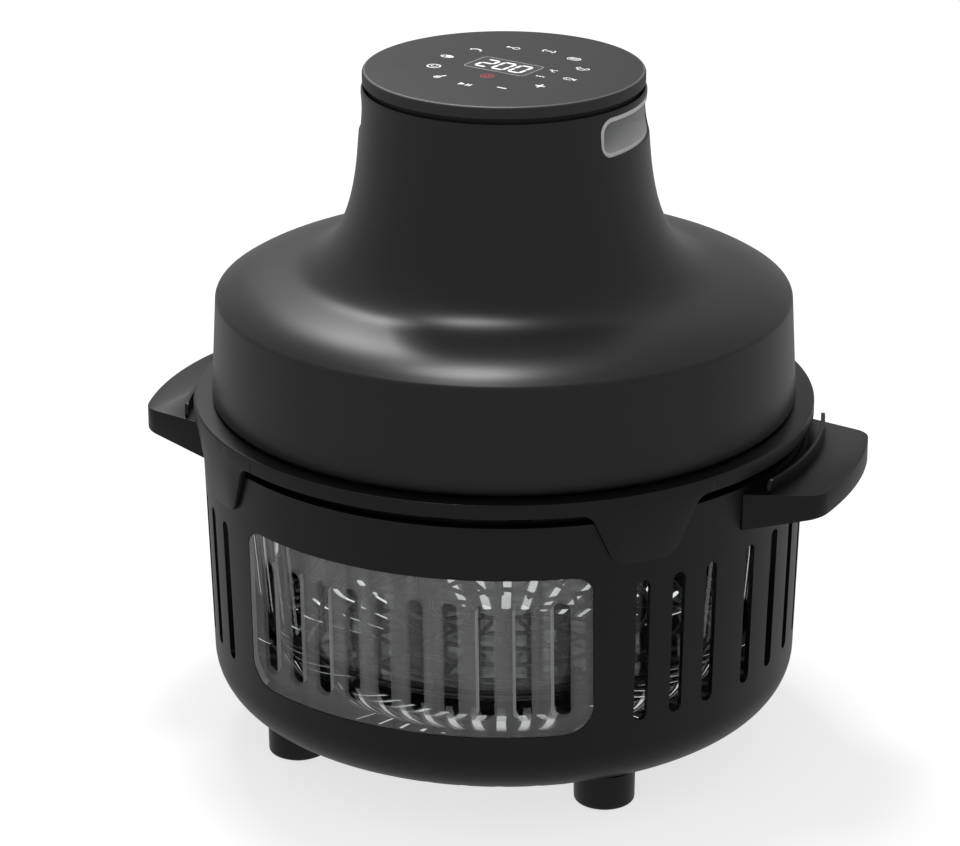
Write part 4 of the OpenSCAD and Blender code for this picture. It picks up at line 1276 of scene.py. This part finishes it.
@dataclass
class PanelGraphics:
    """Printed marks and digits on the touch panel, as thin raised ink."""

    finishes: Finishes
    turn: float = -15
    ring_r: float = 34.8
    line: float = 0.3
    ink: float = 0.06
    ring_centre: Point = (1.4, 1.0)
    slant: float = 0.03
    bar_t: float = 0.8
    digit_w: float = 6.2
    digit_h: float = 11.4
    digit_pitch: float = 9.4
    display: Point = (-1.3, 1.8)
    display_size: Point = (33.9, 19)

    def __post_init__(self) -> None:
        """Reads the panel's top face from the frame."""
        self.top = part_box("touch_panel")[1].z

    def stroke(self, points: Sequence[Point], closed: bool = False,
               width: float = 1.0) -> bpy.types.Object:
        """A drawn line, in millimetres on the panel."""
        line = wire("stroke", [(x, y, 0) for x, y in points], self.line * width, closed, 1, True)
        line.data.transform(Matrix.Diagonal((1, 1, self.ink / self.line, 1)))
        return line

    def fill(self, outline: Sequence[Point]) -> bpy.types.Object:
        """A filled shape, in millimetres on the panel."""
        return prism("fill", outline, -self.ink, self.ink)

    def oval(self, centre: Point, a: float, b: float, start: float = 0, end: float = 360,
             steps: int = 20) -> list[Point]:
        """Points on an oval."""
        ring = arc((0, 0), 1, start, end, steps)
        ring = ring[:-1] if end - start == 360 else ring
        return [(centre[0] + a * x, centre[1] + b * y) for x, y in ring]

    def draw(self, mark: Mark) -> list[bpy.types.Object]:
        """Draws one mark round its own middle.

        Args:
            mark: Which mark.

        Returns:
            Its strokes and fills.
        """
        stroke, fill, oval = self.stroke, self.fill, self.oval

        def dot(x: float, y: float) -> bpy.types.Object:
            """A small round eye."""
            return fill(oval((x, y), 0.4, 0.4, steps=8))

        def bar(x: float, y: float, w: float, h: float, corner: float) -> bpy.types.Object:
            """A filled bar with round corners."""
            return fill(rectangle((x, y), (w, h), corner, 2))

        if mark is Mark.FISH:
            return [stroke(oval((-0.6, 0), 2.5, 1.5), True), fill([(1.7, 0), (3.4, 1.4), (3.4, -1.4)]),
                    dot(-1.8, 0.3)]
        if mark is Mark.CRAB:
            return [stroke(oval((0, -0.6), 1.9, 1.2), True),
                    stroke(oval((-2.4, 1), 1, 1.1, 20, 290)), stroke(oval((2.4, 1), 1, 1.1, -110, 160))]
        if mark is Mark.CHIPS:
            bars = [stroke([(x, -0.9), (x * 1.15, 1.1)]) for x in (-1.8, -0.9, 0, 0.9, 1.8)]
            return [stroke(rectangle((0, 0), (6.8, 3.8), 1.8, 5), True), *bars]
        if mark is Mark.TRAY:
            bars = [stroke([(x - 0.3, -0.8), (x + 0.3, 0.8)]) for x in (-1.1, 0, 1.1)]
            return [stroke(oval((-1.6, 0), 1.6, 1.7, 110, 250), width=1.5),
                    stroke(oval((1.6, 0), 1.6, 1.7, -70, 70), width=1.5), *bars]
        if mark is Mark.DRUMSTICK:
            return [stroke(oval((1.7, 0), 1.7, 1.5), True), stroke([(0, 0), (-2.9, 0)], width=1.3),
                    *(fill(oval((-3.1, y), 0.6, 0.5, steps=8)) for y in (0.5, -0.5))]
        if mark is Mark.SHRIMP:
            return [stroke(oval((0.2, -0.9), 2.6, 2.1, 0, 190), width=1.8),
                    stroke([(2.8, -0.9), (3.5, -0.2)]), stroke([(2.8, -0.9), (3.5, -1.4)]),
                    stroke([(-2.4, -1.1), (-3.4, 0.4)])]
        if mark is Mark.STEAK:
            return [stroke(oval((0, 0), 3.3, 1.9), True), fill(oval((1.0, 0.2), 1.9, 1.3)),
                    fill(oval((-1.9, -0.4), 0.5, 0.5, steps=8))]
        if mark is Mark.EGG:
            return [stroke(oval((0, 0), 3.2, 2.9), True, 1.4),
                    stroke(oval((0, 0.3), 1.5, 1.2, 200, 340)), dot(-1.2, 0.8), dot(1.2, 0.8)]
        if mark is Mark.THERMOMETER:
            return [stroke(oval((-0.7, -1.5), 1.4, 1.4), True, 1.3),
                    stroke([(0, -0.4), (1.6, 2.6)], width=2),
                    fill(oval((-0.7, -1.5), 0.6, 0.6, steps=10))]
        if mark is Mark.START:
            return [fill([(-3.2, -1.7), (0.1, 0), (-3.2, 1.7)]),
                    bar(1.2, 0, 0.8, 3.2, 0.1), bar(2.8, 0, 0.8, 3.2, 0.1)]
        bars = [bar(0, 0, 5.2, 1, 0.2)]
        if mark is Mark.MORE:
            bars.append(bar(0, 0, 1, 5.2, 0.2))
        return bars

    def digit(self, value: str) -> list[bpy.types.Object]:
        """Draws a slanted digit of seven bars.

        Args:
            value: A decimal digit.

        Returns:
            Its bars.
        """
        w, h, t, gap = self.digit_w / 2, self.digit_h / 2, self.bar_t, 0.12
        across = [(-w + gap, 0), (-w + gap + t, t), (w - gap - t, t), (w - gap, 0),
                  (w - gap - t, -t), (-w + gap + t, -t)]
        upright = [(0, gap), (t, gap + t), (t, h - gap - t), (0, h - gap),
                   (-t, h - gap - t), (-t, gap + t)]
        bars = {"a": (across, 0, h), "g": (across, 0, 0), "d": (across, 0, -h),
                "f": (upright, -w, 0), "b": (upright, w, 0), "e": (upright, -w, -h),
                "c": (upright, w, -h)}
        lit = {"0": "abcdef", "2": "abged"}[value]
        drawn = []
        for key in lit:
            outline, x, y = bars[key]
            drawn.append(self.fill([(p + x + (q + y) * self.slant, q + y) for p, q in outline]))
        return drawn

    def place(self, parts: Sequence[bpy.types.Object], spot: Point, name: str,
              material: bpy.types.Material) -> bpy.types.Object:
        """Puts drawn parts on the panel and dresses them as print.

        Args:
            parts: Strokes and fills round their own middle.
            spot: Where their middle goes, in millimetres on the panel's axes.
            name: Name of the joined print.
            material: Its ink.

        Returns:
            The print.
        """
        mark = joined(parts, name)
        mark.data.transform(Matrix.Translation((0, 0, self.top))
                            @ Matrix.Rotation(math.radians(self.turn), 4, "Z")
                            @ Matrix.Diagonal((MM, MM, MM, 1))
                            @ Matrix.Translation((*spot, 0)))
        dress(merge(mark, 1e-7), material)
        finish_piece(mark, Body.HEAD, "panel_glass")
        return mark

    def build(self) -> None:
        """Prints the marks, the display and its digits."""
        white, red = self.finishes.white_print, self.finishes.red_print
        for mark in Mark:
            a = math.radians(mark.value)
            spot = (self.ring_centre[0] + self.ring_r * math.cos(a),
                    self.ring_centre[1] + self.ring_r * math.sin(a))
            self.place(self.draw(mark), spot, f"print_{mark.name.lower()}", white)
        lens = self.fill(rectangle((0, 0), self.display_size, 2.4, 6))
        lens.data.transform(Matrix.Diagonal((1, 1, 0.4, 1)))
        self.place([lens], self.display, "display_lens", self.finishes.display)
        frame = self.stroke(rectangle((0, 0), self.display_size, 2.4, 6), True, 1.3)
        self.place([frame], self.display, "display_frame", self.finishes.grey_print)
        for i, value in enumerate("200"):
            spot = (self.display[0] + (i - 1) * self.digit_pitch, self.display[1])
            self.place(self.digit(value), spot, f"digit_{i}", white)
        power = [self.stroke(self.oval((0, 0), 3.1, 3.1), True, 1.2),
                 self.stroke(self.oval((0, 0), 1.5, 1.5, -230, 50), width=1.1),
                 self.stroke([(0, 0.3), (0, 1.9)], width=1.1)]
        self.place(power, (1.7, -16.3), "print_power", red)
        degree = [self.stroke(self.oval((-1.6, 0.9), 0.6, 0.6, steps=10), True, 0.8),
                  self.stroke(self.oval((1, 0), 1.4, 1.5, 50, 310))]
        self.place(degree, (22.4, 8.1), "print_degree", white)
        dashes = [self.fill(rectangle((x, 0), (1.2, 1), 0.2, 2)) for x in (-1.7, 0, 1.7)]
        self.place(dashes, (22.5, -3.0), "print_timer", white)


# --------------------------------------------------------------------------
# Under the head
# --------------------------------------------------------------------------


@dataclass
class HotSection:
    """The wire guard under the circulation fan."""

    finishes: Finishes
    rings: int = 5
    spokes: int = 6
    wire_r: float = 1.2 * MM

    def build(self) -> None:
        """Models the guard from round wire, with spokes that turn up into its rim."""
        low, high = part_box("fan_guard")
        outer = high.x - self.wire_r
        ring_z = low.z + self.wire_r
        spoke_z = high.z - self.wire_r
        parts = [hoop("ring", outer * i / (self.rings + 1), ring_z, self.wire_r)
                 for i in range(1, self.rings + 2)]
        spoke = wire("spoke", [(outer / 6, 0, spoke_z), (outer - 6 * MM, 0, spoke_z),
                               (outer - MM, 0, spoke_z - 0.8 * MM)], self.wire_r, sides=2)
        parts.append(around(spoke, [360 * i / self.spokes for i in range(self.spokes)], "spokes"))
        guard = joined(parts, "fan_guard_wires")
        dress(smooth(guard, 60), self.finishes.wire)
        finish_piece(guard, Body.HEAD, "rack_wire", "fan_guard")


# --------------------------------------------------------------------------
# Carried-over pieces
# --------------------------------------------------------------------------


def dress_frame(frame: dict, finishes: Finishes) -> None:
    """Gives the CAD nodes that stay in view their finishes.

    Args:
        frame: What the frame's load returned.
        finishes: The finishes.
    """
    wear = {
        finishes.black: ["basket_shell", "collar_ring", "handle_left", "handle_right", "base_feet",
                         "cord_gland"],
        finishes.lit_head_black: ["head_shell"],
        finishes.dark_black: ["panel_carrier", "head_base_ring"],
        finishes.steel: ["handle_screws", "collar_screws", "foot_screws", "head_screws",
                         "motor_screws", "bracket_spacers", "motor_bracket", "interlock_magnet",
                         "motor_shaft", "motor_rotor", "fan_nut", "temperature_probe"],
        finishes.rubber: ["foot_pads", "rack_feet", "bowl_rim_seal", "head_gasket"],
        finishes.glass: ["glass_bowl"],
        finishes.window: ["viewing_window"],
        finishes.dark_wire: ["crisper_rack"],
        finishes.wire: ["fan_guard"],
        finishes.panel: ["touch_panel"],
        finishes.display: ["display_module"],
        finishes.board: ["control_board", "power_board"],
        finishes.liner: ["grip_liner_left", "grip_liner_right"],
        finishes.ceramic: ["heater_terminals", "thermal_fuse", "interlock_switch"],
        finishes.sheet: ["heat_reflector"],
        finishes.fibre: ["insulation_disc"],
        finishes.heater: ["heater_coil"],
        finishes.dark_steel: ["motor_can"],
        finishes.copper: ["motor_stator"],
        finishes.bronze: ["motor_bearings"],
        finishes.aluminium: ["circulation_fan", "cooling_fan"],
    }
    for material, names in wear.items():
        for name in names:
            dress(frame["nodes"][name], material)


# --------------------------------------------------------------------------
# Studio
# --------------------------------------------------------------------------


@dataclass(frozen=True)
class SoftBox:
    """A rectangular studio light aimed at a point."""

    name: str
    place: Point3
    aim: Point3
    size: Point
    power: float

    def build(self) -> None:
        """Adds the light."""
        light = bpy.data.lights.new(self.name, "AREA")
        light.shape = "RECTANGLE"
        light.size, light.size_y = self.size
        light.energy = self.power
        lamp = bpy.data.objects.new(self.name, light)
        bpy.context.scene.collection.objects.link(lamp)
        lamp.location = self.place
        lamp.rotation_euler = (Vector(self.aim) - Vector(self.place)).to_track_quat("-Z", "Y").to_euler()


@dataclass
class Studio:
    """Camera, floor, lights and surroundings."""

    lens: float = 140.22
    turn: float = 19.6
    pitch: float = 21.075
    distance: float = 1.6969
    height: float = 0.8075
    shift_x: float = -0.025
    surround: float = 0.38
    lights: list[SoftBox] = field(default_factory=lambda: [
        SoftBox("key_back", (-0.88, 1.1, 1.68), (0, 0, 0.2), (0.34, 0.7), 6.5),
        SoftBox("low_back", (-0.95, 1.4, 0.95), (0, 0, 0.2), (0.4, 0.5), 0.25),
        SoftBox("top", (-0.3, 0.36, 2.0), (0, 0, 0.2), (0.4, 0.4), 11),
    ])

    def add_camera(self) -> None:
        """Places the camera at the product shot's angle."""
        data = bpy.data.cameras.new("camera")
        data.lens = self.lens
        data.sensor_width = 36
        data.shift_x = self.shift_x
        data.clip_end = 20
        camera = bpy.data.objects.new("camera", data)
        bpy.context.scene.collection.objects.link(camera)
        angle = math.radians(self.turn)
        camera.location = (self.distance * math.sin(angle), -self.distance * math.cos(angle),
                           self.height)
        camera.rotation_euler = (math.radians(90 - self.pitch), 0, angle)
        bpy.context.scene.camera = camera

    def add_floor(self) -> None:
        """A wide pale floor."""
        deselect()
        bpy.ops.mesh.primitive_plane_add(size=14, location=(0, 0, 0))
        floor = name_piece(bpy.context.object, "studio_floor")
        shader = Shader("pale_floor")
        shader.value(Roughness=0.9, Specular_IOR_Level=0.0, Emission_Strength=0.72,
                     Emission_Color=(1, 1, 1, 1))
        shader.link(shader.ramp(shader.noise(3, 2), 0.48, 0.5), "Base Color")
        dress(floor, shader.material)
        floor.visible_glossy = False
        floor.visible_diffuse = False

    def add_world(self) -> None:
        """A dim even surround for the object, and a white one for the eye and through glass."""
        world = bpy.data.worlds.new("surround")
        world.use_nodes = True
        nodes, links = world.node_tree.nodes, world.node_tree.links
        background = nodes["Background"]
        background.inputs["Color"].default_value = (1, 1, 1, 1)
        kind = nodes.new("ShaderNodeLightPath")

        def step(operation: str, first: bpy.types.NodeSocket,
                 second: bpy.types.NodeSocket | float) -> bpy.types.NodeSocket:
            """One step of arithmetic on two values."""
            node = nodes.new("ShaderNodeMath")
            node.operation = operation
            links.new(first, node.inputs[0])
            if isinstance(second, float):
                node.inputs[1].default_value = second
            else:
                links.new(second, node.inputs[1])
            return node.outputs[0]

        bounces = step("ADD", kind.outputs["Diffuse Depth"], kind.outputs["Glossy Depth"])
        direct = step("LESS_THAN", bounces, 0.5)
        seen = step("MAXIMUM", kind.outputs["Is Camera Ray"], kind.outputs["Is Transmission Ray"])
        strength = nodes.new("ShaderNodeMapRange")
        strength.inputs["To Min"].default_value = self.surround
        strength.inputs["To Max"].default_value = 1.0
        links.new(step("MULTIPLY", seen, direct), strength.inputs["Value"])
        links.new(strength.outputs["Result"], background.inputs["Strength"])
        bpy.context.scene.world = world

    def build(self) -> None:
        """Sets up the whole studio."""
        self.add_camera()
        self.add_floor()
        self.add_world()
        for light in self.lights:
            light.build()
        bpy.context.scene.view_settings.view_transform = "Standard"


def main() -> None:
    """Builds the whole picture round the frame."""
    logging.basicConfig(level=logging.INFO, format="%(name)s: %(message)s")
    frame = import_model()
    Studio().build()
    finishes = Finishes()
    dress_frame(frame, finishes)
    for unit in (BaseUnit(finishes), BowlUnit(finishes), RackUnit(finishes), HeadUnit(finishes),
                 PanelGraphics(finishes), HotSection(finishes)):
        unit.build()


if __name__ == "__main__":
    main()
